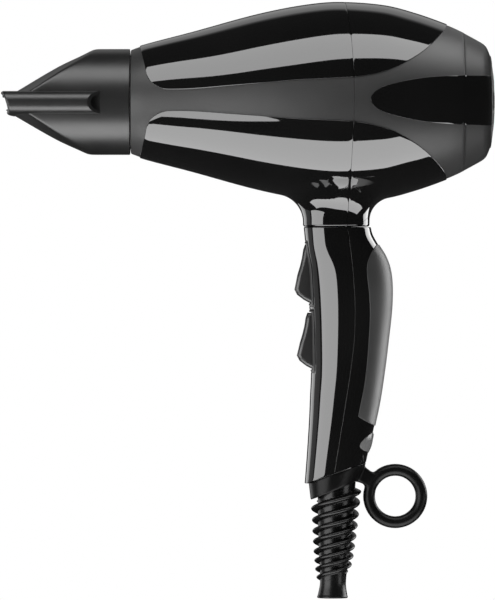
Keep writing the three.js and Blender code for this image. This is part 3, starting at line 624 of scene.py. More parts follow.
# %% A ray of the fan, from the neck's foot to the cover's edge
def fan_ray(x0, dx, dy):
    """The points of one ray, in the direction (dx, dy) seen from below."""
    reach = neck_reach(x0, dx, dy)
    foot = Vector((x0 + reach * dx, reach * dy))
    first = mix(REAR_FLARE if dx > 0 else FRONT_FLARE, FLANK_FLARE, dy * dy)
    second = first + FLATTER * dy**6

    def height(out):
        return skin_below(foot.x + out * dx, foot.y + out * dy)

    def in_skin(lean):
        out = flare_step(lean, first, second)[0]
        if abs(foot.y + out * dy) > FLANK_LIMIT:
            return True
        return (height(out + 0.01) - height(out)) * 100 > 1 / math.tan(lean)

    lean = crossing(math.radians(20), math.radians(88), in_skin)
    out, up = flare_step(lean, first, second)
    start_height = height(out) - up
    below, curved, above = RAY_ROWS
    points = []
    for i in range(below):
        turn = math.radians(mix(18, 90, min(1.0, i / 6)))
        inset = NECK_EDGE * (1 - math.sin(turn))
        rise = NECK_EDGE * (1 - math.cos(turn))
        upright = max(0, i - 6) / (below - 6)
        points.append(Vector((foot.x - inset * dx, foot.y - inset * dy,
                              mix(NECK_BOTTOM + rise, start_height, upright))))
    for i in range(curved + 1):
        step_out, step_up = flare_step(lean * i / curved, first, second)
        points.append(Vector((foot.x + step_out * dx, foot.y + step_out * dy, start_height + step_up)))
    scale = WIDEST                    # turns an angle round the barrel into a length
    far = points[-1]
    start = Vector((far.x - x0, scale * math.asin(far.y / barrel_radius(far.x))))
    direction = start.normalized()
    edge = crossing(125.0, start.length, lambda distance: on_cover(
        x0 + direction.x * distance, direction.y * distance / scale))
    for i in range(1, above + 1):
        distance = mix(start.length, edge, i / above)
        x, angle = x0 + direction.x * distance, direction.y * distance / scale
        radius = barrel_radius(x)
        points.append(Vector((x, radius * math.sin(angle), -radius * math.cos(angle))))
    return points


def fan_patch(rays, facing):
    """facing is -1 for the half towards the nozzle and 1 for the half towards the rear."""
    drawn_rays = []
    for i in range(rays + 1):
        w = 2 * i / rays - 1
        turn = math.radians(90) * (0.65 * w + 0.35 * w**3)
        drawn_rays.append(fan_ray(facing * GAP / 2, facing * math.cos(turn), math.sin(turn)))
    rings = sum(RAY_ROWS)
    return sheet(rings, rays, lambda u, v: drawn_rays[round(v * rays)][round(u * rings)])


print("flare on the flank reaches", [round(value, 1) for value in fan_ray(0, 0, 1)[sum(RAY_ROWS[:2])]])

# %% Both lower covers
def flare_middle(co):
    return Vector((NECK_X if co.z < -44 else co.x, 0, max(co.z, -35)))


for label, facing in (("front", -1), ("rear", 1)):
    cover = fan_patch(128, facing)
    plate(cover, COVER_THICKNESS, COVER_ROUNDING, at_joint, flare_middle)
    set_in_frame(f"lower_{label}_cover", cover, "gloss_black", "housing", [f"lower_{label}_panel"],
                 bowed=True)

# %% [markdown]
# ## Rear tongues
# A gloss strip runs along each side of the rear quarter, from a round tip near the joint, over the
# seam of the removable cap and round the rear corner. It is cut at that seam, because the cap
# pulls off with its own piece of the strip. The same patch as for the covers makes them, turned a
# quarter round the axis. The strip is left bare.

# %% Tongues on the housing and on the cap
TONGUE_EDGE = [(9.5, 0), (12.3, 4.4), (18.5, 7.2), (28, 9.5), (37, 11), (50, 12), (62, 12.4), (76, 12.5)]
TONGUE_TIP = 9.5
TONGUE_CORNER = 12.3


def tongue_angle(x):
    return math.asin(min(1.0, through(TONGUE_EDGE, x) / cap_line(x)[1] if x > CAP_SEAM
                         else through(TONGUE_EDGE, x) / barrel_radius(x)))


def tongue_tip(w):
    return TONGUE_TIP + (TONGUE_CORNER - TONGUE_TIP) * w * w


for label, middle in (("left", -math.pi / 2), ("right", math.pi / 2)):
    strip = skin_patch(40, 20, tongue_tip, straight_at(CAP_SEAM - GAP / 2), tongue_angle, middle)
    plate(strip, 1.3, 0.45, lambda co: co.x > CAP_SEAM - 1)
    set_in_frame(f"{label}_tongue_strip", strip, "gloss_black", "housing", [f"{label}_tongue"])
    strip = skin_patch(24, 20, straight_at(CAP_SEAM + GAP / 2), straight_at(CAP_TURN - 0.6), tongue_angle,
                       middle, line=cap_line)
    plate(strip, 1.3, 0.45, lambda co: co.x < CAP_SEAM + 1)
    set_in_frame(f"{label}_cap_strip", strip, "gloss_black", "rear_cap", [f"{label}_cap_tongue"])

# %% [markdown]
# ## Rear grille
# Air enters through a domed grille in the cap. Its slots lie in two rings between ribs of one
# width. A grid bent into a disc has its lines just where the ribs' edges run, so the slots are the
# faces that are left out, and the plate helper gives the ribs their depth and rounded edges.

# %% Domed grille with two rings of slots
GRILLE_RADIUS = 22.6
RIB_HALF = 0.7
GRILLE_STOPS = [0.6, 5, 7.4, 9.8, 12, 13.2, 14.5, 16.5, 18.5, 20.5, 21.6, GRILLE_RADIUS]


def dome(radius):
    return 72.3 - 1.9 * (radius / GRILLE_RADIUS) ** 2


def grille_sector(ribs, stops):
    """One ring of the grille: columns alternate between a rib and the slot beside it."""
    fill = 8

    def place(u, v):
        radius = stops[round(u * (len(stops) - 1))]
        step = round(v * ribs * (fill + 2))
        rib, part = divmod(step, fill + 2)
        half = math.asin(min(0.9, RIB_HALF / radius))
        sector = 2 * math.pi / ribs
        if part <= 2:
            angle = rib * sector + half * (part - 1)
        else:
            angle = rib * sector + half + (sector - 2 * half) * (part - 2) / fill
        return Vector((dome(radius), radius * math.sin(angle), radius * math.cos(angle)))

    bm = sheet(len(stops) - 1, ribs * (fill + 2), place)
    bmesh.ops.remove_doubles(bm, verts=bm.verts[:], dist=1e-4)
    return bm


def open_slots(bm, inner, outer, ribs):
    slots = []
    for face in bm.faces:
        centre = face.calc_center_median()
        radius = math.hypot(centre.y, centre.z)
        angle = math.atan2(centre.y, centre.z) % (2 * math.pi / ribs)
        off_rib = min(angle, 2 * math.pi / ribs - angle) * radius > RIB_HALF
        if inner < radius < outer and off_rib:
            slots.append(face)
    bmesh.ops.delete(bm, geom=slots, context="FACES")


grille = grille_sector(10, GRILLE_STOPS)
open_slots(grille, 14.5, 20.5, 10)
open_slots(grille, 5, 12, 5)
hub = bmesh.ops.holes_fill(grille, edges=[edge for edge in grille.edges if edge.is_boundary
                                          and edge.verts[0].co.yz.length < 1], sides=0)
print("hub faces", len(hub["faces"]))
plate(grille, 1.8, 0.3, middle=lambda co: Vector((0, co.y, co.z)))
set_in_frame("rear_grille_dome", grille, "satin_black", "rear_cap", ["rear_grille"])

# %% [markdown]
# ## Handle
# The handle is a squarish oval that tapers to the cord end, moulded in a front and a rear half
# that meet on a shallow bow. Two rocker switches sit in windows in the front half. A loft between
# drawn sections would do, but a grid whose rows and columns are placed by the section's own
# formula can put its lines exactly on the windows' edges, so that a window is only a set of faces
# left out, and the plate helper rounds its rim with all the others.

# %% The handle's section and its slanted end
HANDLE_TOP = -62.5
END_SLOPE = 0.344
END_MIDDLE = -185.2
RELIEF_X = -7.0
HANDLE_SQUARENESS = [
    (-195, 2.5), (-180, 2.45), (-150, 2.3), (-130, 2.2), (-110, 2.15), (-90, 2.15), (-85, 2.18),
    (-81.5, 2.28), (-78.5, 2.46), (-76, 2.64), (-73, 2.8), (-70.5, 2.82), (-67, 2.73), (-62, 2.65),
]
HANDLE_FRONT = [
    (-195, -23), (-175, -21.5), (-159, -20.5), (-147, -20), (-135, -19.5), (-118, -19.8), (-99, -20.5),
    (-80, -21.6), (-62, -23.2),
]
HANDLE_BACK = [
    (-195, 5.2), (-180, 8), (-167, 11), (-151, 14.5), (-135, 17), (-119, 19), (-103, 20.7), (-91, 20.9),
    (-83, 19.8), (-77, 17.6), (-70.5, 13.6), (-66, 11.2), (-62, 10.3),
]
HANDLE_HALF_WIDTH = [(-195, 14.2), (-165, 15.6), (-130, 17), (-95, 17.4), (-75, 16), (-62, 15.5)]
HANDLE_JOINT = [(-200, -10), (-181, -7.4), (-155, -3.2), (-123.5, 1.3), (-104, 2.2), (-83, 1), (-62, -1.5)]


def end_z(x, drop=0.0):
    return END_MIDDLE + END_SLOPE * (x - RELIEF_X) - drop


def section(z, grow=0.0):
    """Middle, half depth and half width of the handle at one height."""
    front, back = through(HANDLE_FRONT, z) - grow, through(HANDLE_BACK, z) + grow
    return (front + back) / 2, (back - front) / 2, through(HANDLE_HALF_WIDTH, z) + grow


def squareness(z):
    return through(HANDLE_SQUARENESS, z)


def squared(value, power):
    return math.copysign(abs(value) ** power, value)


def handle_point(z, angle, grow=0.0):
    """A place on the handle's skin; angle 0 is the back and 180 degrees the front."""
    middle, half_depth, half_width = section(z, grow)
    power = 2 / squareness(z)
    return Vector((middle + half_depth * squared(math.cos(angle), power),
                   half_width * squared(math.sin(angle), power), z))


def angle_at_x(x, z, grow=0.0):
    middle, half_depth, _ = section(z, grow)
    share = min(1.0, max(-1.0, (x - middle) / half_depth))
    return math.acos(squared(share, squareness(z) / 2))


def angle_at_y(y, z, grow=0.0):
    """The angle on the front face at one distance to the side."""
    return math.pi - math.asin(squared(y / section(z, grow)[2], squareness(z) / 2))


print("handle depth at the switches", round(2 * section(-100)[1], 1), "mm")

# %% Grids whose lines lie at chosen places
def run(*legs):
    """Values along legs (start, end, count), each leg starting where the last one ended."""
    values = [legs[0][0]]
    for start, end, count in legs:
        values += [mix(start, end, (i + 1) / count) for i in range(count)]
    return values


def to_slanted_end(z, start, x_at):
    """Stretch a height below start so that END_MIDDLE lands on the handle's slanted end."""
    if z >= start:
        return z
    share = (start - z) / (start - END_MIDDLE)
    for _ in range(3):
        z = mix(start, end_z(x_at(z)), share)
    return z


def handle_middle(co):
    return Vector((section(co.z)[0], 0, co.z))


def drawn(columns, rows, place):
    """A sheet whose lines lie at chosen values: columns across and rows down."""
    across, down = len(columns) - 1, len(rows) - 1
    return sheet(across, down, lambda u, v: place(columns[round(u * across)], rows[round(v * down)]))


print("rows at", run((0, 1, 2), (1, 4, 3)))

# %% Front half with its two windows, and rear half
WINDOW_HALF = 8.5
UPPER_WINDOW = (-102.0, -69.6)
LOWER_WINDOW = (-135.0, -103.7)
HANDLE_WALL = 2.4
HANDLE_ROUNDING = 0.5
END_RUN = -140.0


def front_place(column, z):
    def angle_for(height):
        joint = angle_at_x(through(HANDLE_JOINT, height) - GAP / 2, height)
        edge = angle_at_y(WINDOW_HALF, height)
        if column < 1:
            return mix(joint, edge, column)
        if column <= 2:
            return mix(edge, 2 * math.pi - edge, column - 1)
        return mix(2 * math.pi - edge, 2 * math.pi - joint, column - 2)

    z = to_slanted_end(z, END_RUN, lambda height: handle_point(height, angle_for(height)).x)
    return handle_point(z, angle_for(z))


def beside_joint(co):
    on_joint = abs(co.x - through(HANDLE_JOINT, co.z)) < 0.4
    return on_joint and co.z < HANDLE_TOP - 0.2 or abs(co.z - end_z(co.x)) < 0.6


front_half = drawn(
    run((0, 1, 18), (1, 2, 18), (2, 3, 18)),
    run((HANDLE_TOP, UPPER_WINDOW[1], 8), (UPPER_WINDOW[1], UPPER_WINDOW[0], 24),
        (UPPER_WINDOW[0], LOWER_WINDOW[1], 2), (LOWER_WINDOW[1], LOWER_WINDOW[0], 24),
        (LOWER_WINDOW[0], END_RUN, 4), (END_RUN, END_MIDDLE, 34)),
    front_place,
)
in_window = []
for face in front_half.faces:
    centre = face.calc_center_median()
    tall = any(low < centre.z < high for low, high in (UPPER_WINDOW, LOWER_WINDOW))
    if tall and centre.x < -12 and abs(centre.y) < WINDOW_HALF:
        in_window.append(face)
bmesh.ops.delete(front_half, geom=in_window, context="FACES")
print("faces left out for the windows", len(in_window))
plate(front_half, HANDLE_WALL, HANDLE_ROUNDING, beside_joint, handle_middle)
set_in_frame("handle_front_cover", front_half, "gloss_black", "housing", ["handle_front_half"])


def rear_place(share, z):
    def angle_for(height):
        return share * angle_at_x(through(HANDLE_JOINT, height) + GAP / 2, height)

    z = to_slanted_end(z, END_RUN, lambda height: handle_point(height, angle_for(height)).x)
    return handle_point(z, angle_for(z))


rear_half = drawn(run((-1, 1, 60)), run((HANDLE_TOP, END_RUN, 66), (END_RUN, END_MIDDLE, 44)), rear_place)
plate(rear_half, HANDLE_WALL, HANDLE_ROUNDING, beside_joint, handle_middle)

# %% [markdown]
# ## Cool-shot button in its thumb dish
# The button that switches the heat off for a moment sits low on the handle's back. A thumb has to
# find it without looking, so it lies in a grey dish that reaches round both flanks, and its top
# stands clear of the dish. The dish is a patch of the handle's skin with a slight swell; the button
# is a small turned knob, tilted with the handle's back, that moves with the button's own body. Its
# underside is hollow, so that it clears the coil spring when it is pressed.

# %% Dish, button hole and button
BUTTON_AT = Vector((9.9, 0, -169))
BUTTON_TILT = math.radians(14)
BUTTON_RADIUS = 3.5
DISH_SWELL = 0.9
DISH_EDGE = [(-175.4, 10.6), (-174.8, 8.2), (-173.6, 6.0), (-172.2, 4.8), (-170.6, 5.0), (-168.6, 6.6),
             (-166.8, 8.8), (-165.0, 11.2)]


def along_button(bm):
    """Turn a shape made about the x axis to the button's place and tilt."""
    bmesh.ops.rotate(bm, verts=bm.verts[:], cent=(0, 0, 0), matrix=Matrix.Rotation(BUTTON_TILT, 3, "Y"))
    bmesh.ops.translate(bm, verts=bm.verts[:], vec=BUTTON_AT)
    return bm


def rod_along_x(x0, x1, radius, sides=48):
    bm = turned([(x0, 0.01), (x0, radius), (x1, radius), (x1, 0.01)], sides)
    bmesh.ops.remove_doubles(bm, verts=bm.verts[:], dist=0.03)
    return bm


rear_half = combined(rear_half, along_button(rod_along_x(-7, 7, BUTTON_RADIUS + 0.4)), "DIFFERENCE")
set_in_frame("handle_rear_cover", rear_half, "gloss_black", "housing", ["handle_rear_half"])


def dish_place(share, z):
    def half_angle(height):
        edge = through(DISH_EDGE, height)
        return max(0.02, angle_at_x(edge, height))
    bottom, top = DISH_EDGE[0][0], DISH_EDGE[-1][0]
    swell = DISH_SWELL * (1 - share**2) * math.sin(math.pi * (z - bottom) / (top - bottom))
    return handle_point(z, share * half_angle(z), 0.2 + max(0.0, swell))


dish = drawn(run((-1, 1, 48)), run((DISH_EDGE[0][0] + 0.1, DISH_EDGE[-1][0] - 0.3, 26)), dish_place)
plate(dish, 0.9, 0.25, middle=handle_middle)
dish = combined(dish, along_button(rod_along_x(-7, 7, BUTTON_RADIUS + 0.35)), "DIFFERENCE")
set_in_frame("cool_shot_dish", dish, "dish_grey", "housing", [])

button = along_button(turned([
    (-2.6, 0.02), (-2.6, 3.0), (-4.8, 3.0), (-4.8, 4.4), (-3.3, 4.4), (-3.3, BUTTON_RADIUS),
    (0.9, BUTTON_RADIUS), (1.25, 3.3), (1.4, 3.0), (1.25, 2.4), (1.1, 1.6), (1.05, 0.8), (1.03, 0.02),
], 64))
set_in_frame("cool_shot_button_cap", button, "button_grey", "cool_shot_button", ["cool_shot_button"])

# %% [markdown]
# ## Grip pad
# A softer grey skin covers the handle's back, where the palm lies. It stands half a millimetre
# proud, ends in a point at the top and is cut off at a slant above the button.

# %% Grip pad
PAD_EDGE = [(-156, 4.2), (-138, 7.6), (-110, 9.8), (-98, 9.6), (-82, 8.4), (-75, 10.9), (-69.6, 14.6)]
PAD_TOP = -71.4
PAD_RUN = -140.0
PAD_PROUD = 0.5


def pad_end(x):
    return through([(4, -157), (8.4, -159.7), (13, -162)], x)


def pad_place(share, z):
    def angle_for(height):
        return share * max(0.03, angle_at_x(through(PAD_EDGE, height), height, PAD_PROUD))

    def x_at(height):
        return handle_point(height, angle_for(height), PAD_PROUD).x

    if z < PAD_RUN:
        part = PAD_RUN - z
        for _ in range(3):
            z = mix(PAD_RUN, pad_end(x_at(z)), part / (PAD_RUN + 160))
    return handle_point(z, angle_for(z), PAD_PROUD)


pad = drawn(run((-1, 1, 44)), run((PAD_TOP, PAD_RUN, 66), (PAD_RUN, -160, 20)), pad_place)
plate(pad, 1.7, 0.4, middle=handle_middle)
set_in_frame("grip_pad_skin", pad, "grip_grey", "housing", ["grip_pad"])

# %% [markdown]
# ## Rocker switches
# Each rocker is a thick plate that tilts on a pin: thin at the top, with a bowed front and a catch
# for the thumb at the bottom. Its side outline is drawn once and pushed out to both sides, and a
# round bevel runs along both of its rims. A frame round each window keeps the thumb off the gloss
# skin. It stands a little proud along the sides and runs level into the skin above and below.

# %% Rockers and their frames
ROCKER_HALF_WIDTH = 6.1
FRAME_HALF = 8.4
OPENING_HALF = 6.5
END_STRIP = 1.5                   # height of the frame's strips above and below the rocker
SWITCHES = {
    "speed": ("upper", (-17.5, -86.4), UPPER_WINDOW),
    "heat": ("lower", (-16.3, -120.5), LOWER_WINDOW),
}


def rocker_outline(height):
    bottom = -height + 15.5
    return [
        (3.5, 14.6), (-5.0, 15.2), (-5.9, 12.6), (-6.5, 8.6), (-7.5, 4.3), (-8.8, 0.0),
        (-10.3, bottom + 6.7), (-8.9, bottom + 4.1), (-5.6, bottom + 1.6), (-2.6, bottom),
        (3.5, bottom + 0.6),
    ]


def rocker(pivot, height):
    corners = [(x + pivot[0], -ROCKER_HALF_WIDTH, z + pivot[1]) for x, z in rocker_outline(height)]
    bm = pushed_out(corners, (0, 2 * ROCKER_HALF_WIDTH, 0))
    sides = [edge for edge in bm.edges if abs(edge.verts[0].co.y - edge.verts[1].co.y) < 1]
    round_edges(bm, sides, 2.2, 8)
    return bm


def frame_place(y, z, low, high):
    """On the skin, 0.35 mm proud along the sides and level with it at both ends."""
    lift = mix(-0.1, 0.35, min(1.0, max(0.0, (min(z - low, high - z) - 0.6) / 0.8)))
    point = handle_point(z, angle_at_y(y, z, lift), lift)
    return Vector((point.x, y, z))


for name, (level, pivot, window) in SWITCHES.items():
    plate_height = window[1] - window[0] - 2.8
    set_in_frame(f"{name}_rocker_plate", rocker(pivot, plate_height), "switch_black", f"{name}_rocker",
                 [f"{name}_rocker"])
    low, high = window[0] - 0.45, window[1] + 0.45
    rim = drawn(
        run((-FRAME_HALF, -OPENING_HALF, 2), (-OPENING_HALF, OPENING_HALF, 14),
            (OPENING_HALF, FRAME_HALF, 2)),
        run((low, low + END_STRIP, 3), (low + END_STRIP, high - END_STRIP, 30),
            (high - END_STRIP, high, 3)),
        lambda y, z: frame_place(y, z, low, high),
    )
    opening = []
    for face in rim.faces:
        centre = face.calc_center_median()
        if abs(centre.y) < OPENING_HALF and low + END_STRIP < centre.z < high - END_STRIP:
            opening.append(face)
    bmesh.ops.delete(rim, geom=opening, context="FACES")
    plate(rim, 3.0, 0.3, middle=handle_middle)
    set_in_frame(f"{level}_switch_frame", rim, "switch_black", "housing", [f"{level}_switch_bezel"])

# %% [markdown]
# ## Hanging loop
# A soft collar closes the handle's end, and a ring to hang the dryer by grows out of its back. In
# the mould, ring, arm and collar are one body with soft inner corners. Three simple shapes that run
# into each other are wrapped in one fine skin by the voxel remesh, and the corners where the arm
# meets the ring and the collar are smoothed afterwards.

# %% The collar as a closed loft
COLLAR_DROP = 8.3
RING_AT = Vector((22.6, 0, -197))
RING_RADIUS = 13.1
RING_THICKNESS = 3.0
LOOP_SKIN = 0.42


def collar_place(angle, share):
    """The collar between the handle's slanted end and its own, share running from 1 down to 0."""
    def point(z):
        t = (z + 203) / 23
        left, right = mix(-19.2, -21.9, t), mix(-1.5, 8.2, t)
        half_width = mix(10.5, 13.4, t)
        middle, half_depth = (left + right) / 2, (right - left) / 2
        return Vector((middle + half_depth * math.cos(angle), half_width * math.sin(angle), z))

    z = -190.0
    for _ in range(4):
        lower = COLLAR_DROP + 0.07 * (-5 - point(z).x)
        z = end_z(point(z).x, mix(lower, 0.05, share))
    return point(z)


def closed_loft(columns, rows, place):
    """A sheet wrapped round once and closed at both ends; place takes (angle, share)."""
    bm = sheet(columns, rows, lambda u, v: place(2 * math.pi * u, v))
    bmesh.ops.remove_doubles(bm, verts=bm.verts[:], dist=1e-3)
    bmesh.ops.holes_fill(bm, edges=[edge for edge in bm.edges if edge.is_boundary], sides=0)
    bmesh.ops.recalc_face_normals(bm, faces=bm.faces[:])
    return bm


print("collar", round(2 * collar_place(math.pi / 2, 1).y, 1), "mm wide at its top")

# %% Ring and arm, and one skin round all three
def ring(centre, radius, thickness, steps=96, sides=32):
    """A round section spun about a line through the centre, along Y."""
    bm = bmesh.new()
    bmesh.ops.create_circle(bm, segments=sides, radius=thickness)
    bmesh.ops.translate(bm, verts=bm.verts[:], vec=(radius, 0, 0))
    bmesh.ops.spin(bm, geom=bm.verts[:] + bm.edges[:], cent=(0, 0, 0), axis=(0, 1, 0), angle=2 * math.pi,
                   steps=steps, use_merge=True)
    bmesh.ops.translate(bm, verts=bm.verts[:], vec=centre)
    return bm


def wrapped(bm, voxel, passes, soften):
    """One fine skin round a closed shape, smoothed where soften(co) is true."""
    mesh = bpy.data.meshes.new("passing")
    bm.to_mesh(mesh)
    bm.free()
    holder = bpy.data.objects.new("passing", mesh)
    bpy.context.scene.collection.objects.link(holder)
    skin = holder.modifiers.new("skin", "REMESH")
    skin.mode = "VOXEL"
    skin.voxel_size = voxel
    result = bmesh.new()
    result.from_object(holder, bpy.context.evaluated_depsgraph_get())
    bpy.data.objects.remove(holder)
    bpy.data.meshes.remove(mesh)

    def smooth(verts, rounds):
        for _ in range(rounds):
            bmesh.ops.smooth_vert(result, verts=verts, factor=0.5, use_axis_x=True, use_axis_y=True,
                                  use_axis_z=True)

    smooth(result.verts[:], 3)
    smooth([vert for vert in result.verts if soften(vert.co)], passes)
    return result


ARM_OUTLINE = [
    (-1, -185.5), (4.2, -181.6), (7.5, -182.4), (12.6, -186.2), (12.4, -190), (9.4, -193.2), (6.0, -190.6),
    (2.4, -189.6), (-1, -190.4),
]
ARM_HALF_WIDTH = 2.7
arm = pushed_out([(x, -ARM_HALF_WIDTH, z) for x, z in ARM_OUTLINE], (0, 2 * ARM_HALF_WIDTH, 0))
loop = combined(closed_loft(96, 20, collar_place), arm, "UNION")
loop = combined(loop, ring(RING_AT, RING_RADIUS, RING_THICKNESS), "UNION")
loop = wrapped(loop, LOOP_SKIN, 14, lambda co: 1.5 < co.x < 13.5 and co.z > -195 and abs(co.y) < 4.5)
set_in_frame("hang_loop_skin", loop, "rubber_black", "housing", ["hang_loop"], sharp=60)

# %% [markdown]
# ## Strain relief
# Below the collar the cord leaves through a bend protector: a tapered rubber core with three ribs
# wound round it like screw threads, which lets the cord bend in a wide curve. Spinning a section
# can't give a thread with rounded ends, so the core is a wrapped sheet whose radius rises where a
# rib passes, with a full round crest. It closes through the cord's bore, so it has a real wall.

# %% Core, ribs, flared foot and bore
RELIEF_FOOT = -248.0
RELIEF_LEAN = -1.8
CORD_BORE = 4.2
CORE_RADIUS = [(-248, 7.9), (-246, 7.3), (-240, 6.5), (-225, 7.6), (-210, 8.6), (-188, 9.6)]
RIB_REACH = [(-238, 0), (-235.6, 1.7), (-225, 2.5), (-203, 3.0), (-197.6, 3.0), (-195.8, 0)]
RIB_NUMBER = [
    (-248, -10.2), (-234.6, -7), (-225.9, -5), (-215.8, -3), (-204.8, -1), (-198.8, 0), (-190, 1.5),
]
RIB_STARTS = 3
RIB_WIDTH = 0.5                   # share of the pitch that a rib takes


def relief_x(z):
    return RELIEF_X + RELIEF_LEAN * (z + 199) / (RELIEF_FOOT + 199)


def rib_height(z, angle):
    """RIB_NUMBER says at which heights the ribs cross the side seen by the viewer."""
    level = z - END_SLOPE * through(CORE_RADIUS, z) * math.cos(angle)
    phase = through(RIB_NUMBER, z) - RIB_STARTS * (angle + math.pi / 2) / (2 * math.pi)
    off_crest = abs(phase - round(phase)) / (RIB_WIDTH / 2)
    if off_crest >= 1.3 or not RIB_REACH[0][0] < level < RIB_REACH[-1][0]:
        return 0.0
    crest = max(0.0, 1 - min(1.0, off_crest) ** 2.6) ** 0.5
    skirt = 0.1 * max(0.0, 1.3 - off_crest)
    return (crest * 0.9 + skirt) * max(0.0, through(RIB_REACH, level))


RELIEF_ROWS = ([("skin", z) for z in run((-190, RELIEF_FOOT + 0.6, 300))]
               + [("foot", share) for share in (0.35, 0.7, 1.0)]
               + [("bore", z) for z in run((RELIEF_FOOT + 0.4, -190, 24))])


def relief_place(angle, share):
    kind, value = RELIEF_ROWS[round(share * (len(RELIEF_ROWS) - 1))]
    if kind == "skin":
        z, radius = value, through(CORE_RADIUS, value) + rib_height(value, angle)
    elif kind == "foot":
        z = RELIEF_FOOT + 0.6 - 0.6 * math.sin(value * math.pi / 2)
        radius = 7.75 - 0.6 * (1 - math.cos(value * math.pi / 2))
    else:
        z, radius = value, CORD_BORE + (0.4 if value < RELIEF_FOOT + 0.5 else 0)
    return Vector((relief_x(z) + radius * math.cos(angle), radius * math.sin(angle), z))


relief = sheet(128, len(RELIEF_ROWS) - 1, lambda u, v: relief_place(2 * math.pi * u, v))
bmesh.ops.remove_doubles(relief, verts=relief.verts[:], dist=1e-3)
bmesh.ops.bridge_loops(relief, edges=[edge for edge in relief.edges if edge.is_boundary])
set_in_frame("strain_relief_skin", relief, "relief_black", "housing", ["strain_relief"], sharp=55)

# %% [markdown]
# ## Concentrator nozzle
# The nozzle squeezes the round stream into a flat one. Its collar is a plain cylinder; two slanted,
# slightly crowned faces cut it down to the flat outlet, a bar with half-round sides whose lips bow
# forward. Behind the bar, where its flanks leave the collar, a half-moon inlet on each side draws
# in cool air. Body and bar are closed lofts, joined and then hollowed with the Manifold Boolean.

# %% The nozzle's body
COLLAR_BACK = BARREL_FRONT - 0.4
COLLAR_RADIUS = 26.45
SLOT_LEVEL = -0.9
SLOT_HALF_WIDTH = 31.4
SLOT_HALF_HEIGHT = 5.6
SLOT_WALL = 2.25
NOZZLE_WALL = 2.3
CROWN_RADIUS = 68.0
NOZZLE_FRONT = -168.0
LIP_FRONT = -170.7
SLOT_BACK = -131.5
MOUTH_FRONT = -126.5
MOUTH_RADIUS = 24.2
CHAMBER = (-166.0, -118.0)
INLET_BACK = -124.6
INLET_FLOOR = 24.9
UPPER_FACE = [(-170, 2.9), (-168, 4.3), (-165, 6.2), (-146, 17.4), (-132, 24.2), (-119, 31.4), (-108, 38)]
LOWER_FACE = [(-170, 5.6), (-168, 6.8), (-147, 18.8), (-132, 25.8), (-119, 32.4), (-108, 39)]


def crown_reach(limit, side, up):
    """Distance along a ray to a crowned face at a height limit above or below the middle."""
    bend = side * side / (2 * CROWN_RADIUS)
    if bend < 1e-6:
        return limit / up if up > 1e-6 else 1e3
    return (-up + math.sqrt(up * up + 4 * bend * limit)) / (2 * bend)


def nozzle_reach(x, angle, inset):
    """Distance from the outlet's level to the nozzle's skin, with softly rounded corners."""
    side, up = math.sin(angle), math.cos(angle)
    collar = COLLAR_RADIUS - inset
    to_collar = -SLOT_LEVEL * up + math.sqrt(collar**2 - (SLOT_LEVEL * side) ** 2)
    to_upper = crown_reach(through(UPPER_FACE, x) - inset - SLOT_LEVEL, side, up)
    to_lower = crown_reach(through(LOWER_FACE, x) - inset + SLOT_LEVEL, side, -up)
    sharpness = 60
    return sum(distance ** -sharpness for distance in (to_collar, to_upper, to_lower)) ** (-1 / sharpness)


def nozzle_body(front, back, inset, columns=448, rows=110):
    """A closed body with its walls at an inset, on an even grid round it."""
    def place(angle, share):
        x = mix(back, front, share)
        reach = nozzle_reach(x, angle, inset)
        return Vector((x, reach * math.sin(angle), SLOT_LEVEL + reach * math.cos(angle)))
    return closed_loft(columns, rows, place)


print("collar reach to the side", round(nozzle_reach(-112, math.pi / 2, 0), 2), "mm")

# %% The flat outlet bar
def bar_section(turn, half_width, half_height):
    """A flat bar's outline with half-round sides; turn runs from 0 to 1 round it."""
    quarter, part = divmod(turn * 4, 1)
    flat_share = 0.35
    if part < flat_share:
        y, z = (half_width - half_height) * part / flat_share, half_height
    else:
        arc = (part - flat_share) / (1 - flat_share) * math.pi / 2
        y, z = half_width - half_height + half_height * math.sin(arc), half_height * math.cos(arc)
    return {0: (y, z), 1: (y, -z), 2: (-y, -z), 3: (-y, z)}[int(quarter) % 4]


def bar_turn(turn):
    """Run each quarter so that the outline goes round in one sense."""
    quarter, part = divmod(turn * 4, 1)
    if int(quarter) % 2:
        part = 1 - part
        if part == 1:
            part = 0.999999
    return (quarter + part) / 4


def outlet_bar(half_width, half_height, back, front, shaped, rows=60, lip=0.0):
    """A flat bar from back to front; its last tenth rounds off to a lip, if it has one."""
    def place(angle, share):
        turn = min(0.999999, angle / (2 * math.pi))
        grow = 0.0
        if lip and share > 0.9:
            grow = -lip * (1 - math.cos((share - 0.9) / 0.1 * math.pi / 2))
        y, z = bar_section(bar_turn(turn), half_width + grow, half_height + grow)
        tip = front - 0.308 * z - 2.2 * (1 - (y / half_width) ** 2) if shaped else front
        along = share
        if lip and share <= 0.9:
            along = share / 0.9 * 0.985
        elif lip:
            along = 0.985 + 0.015 * math.sin((share - 0.9) / 0.1 * math.pi / 2)
        return Vector((mix(back, tip, along), y, SLOT_LEVEL + z))
    return closed_loft(160, rows, place)


nozzle = nozzle_body(NOZZLE_FRONT, COLLAR_BACK, 0)
collar_rim = [edge for edge in nozzle.edges
              if edge.calc_face_angle() > 1 and edge.verts[0].co.x > COLLAR_BACK - 0.01]
round_edges(nozzle, collar_rim, 0.45, 3)
bar = outlet_bar(SLOT_HALF_WIDTH, SLOT_HALF_HEIGHT, INLET_BACK, LIP_FRONT, True, lip=0.8)
print("nozzle body", len(nozzle.faces), "faces, outlet bar", len(bar.faces))

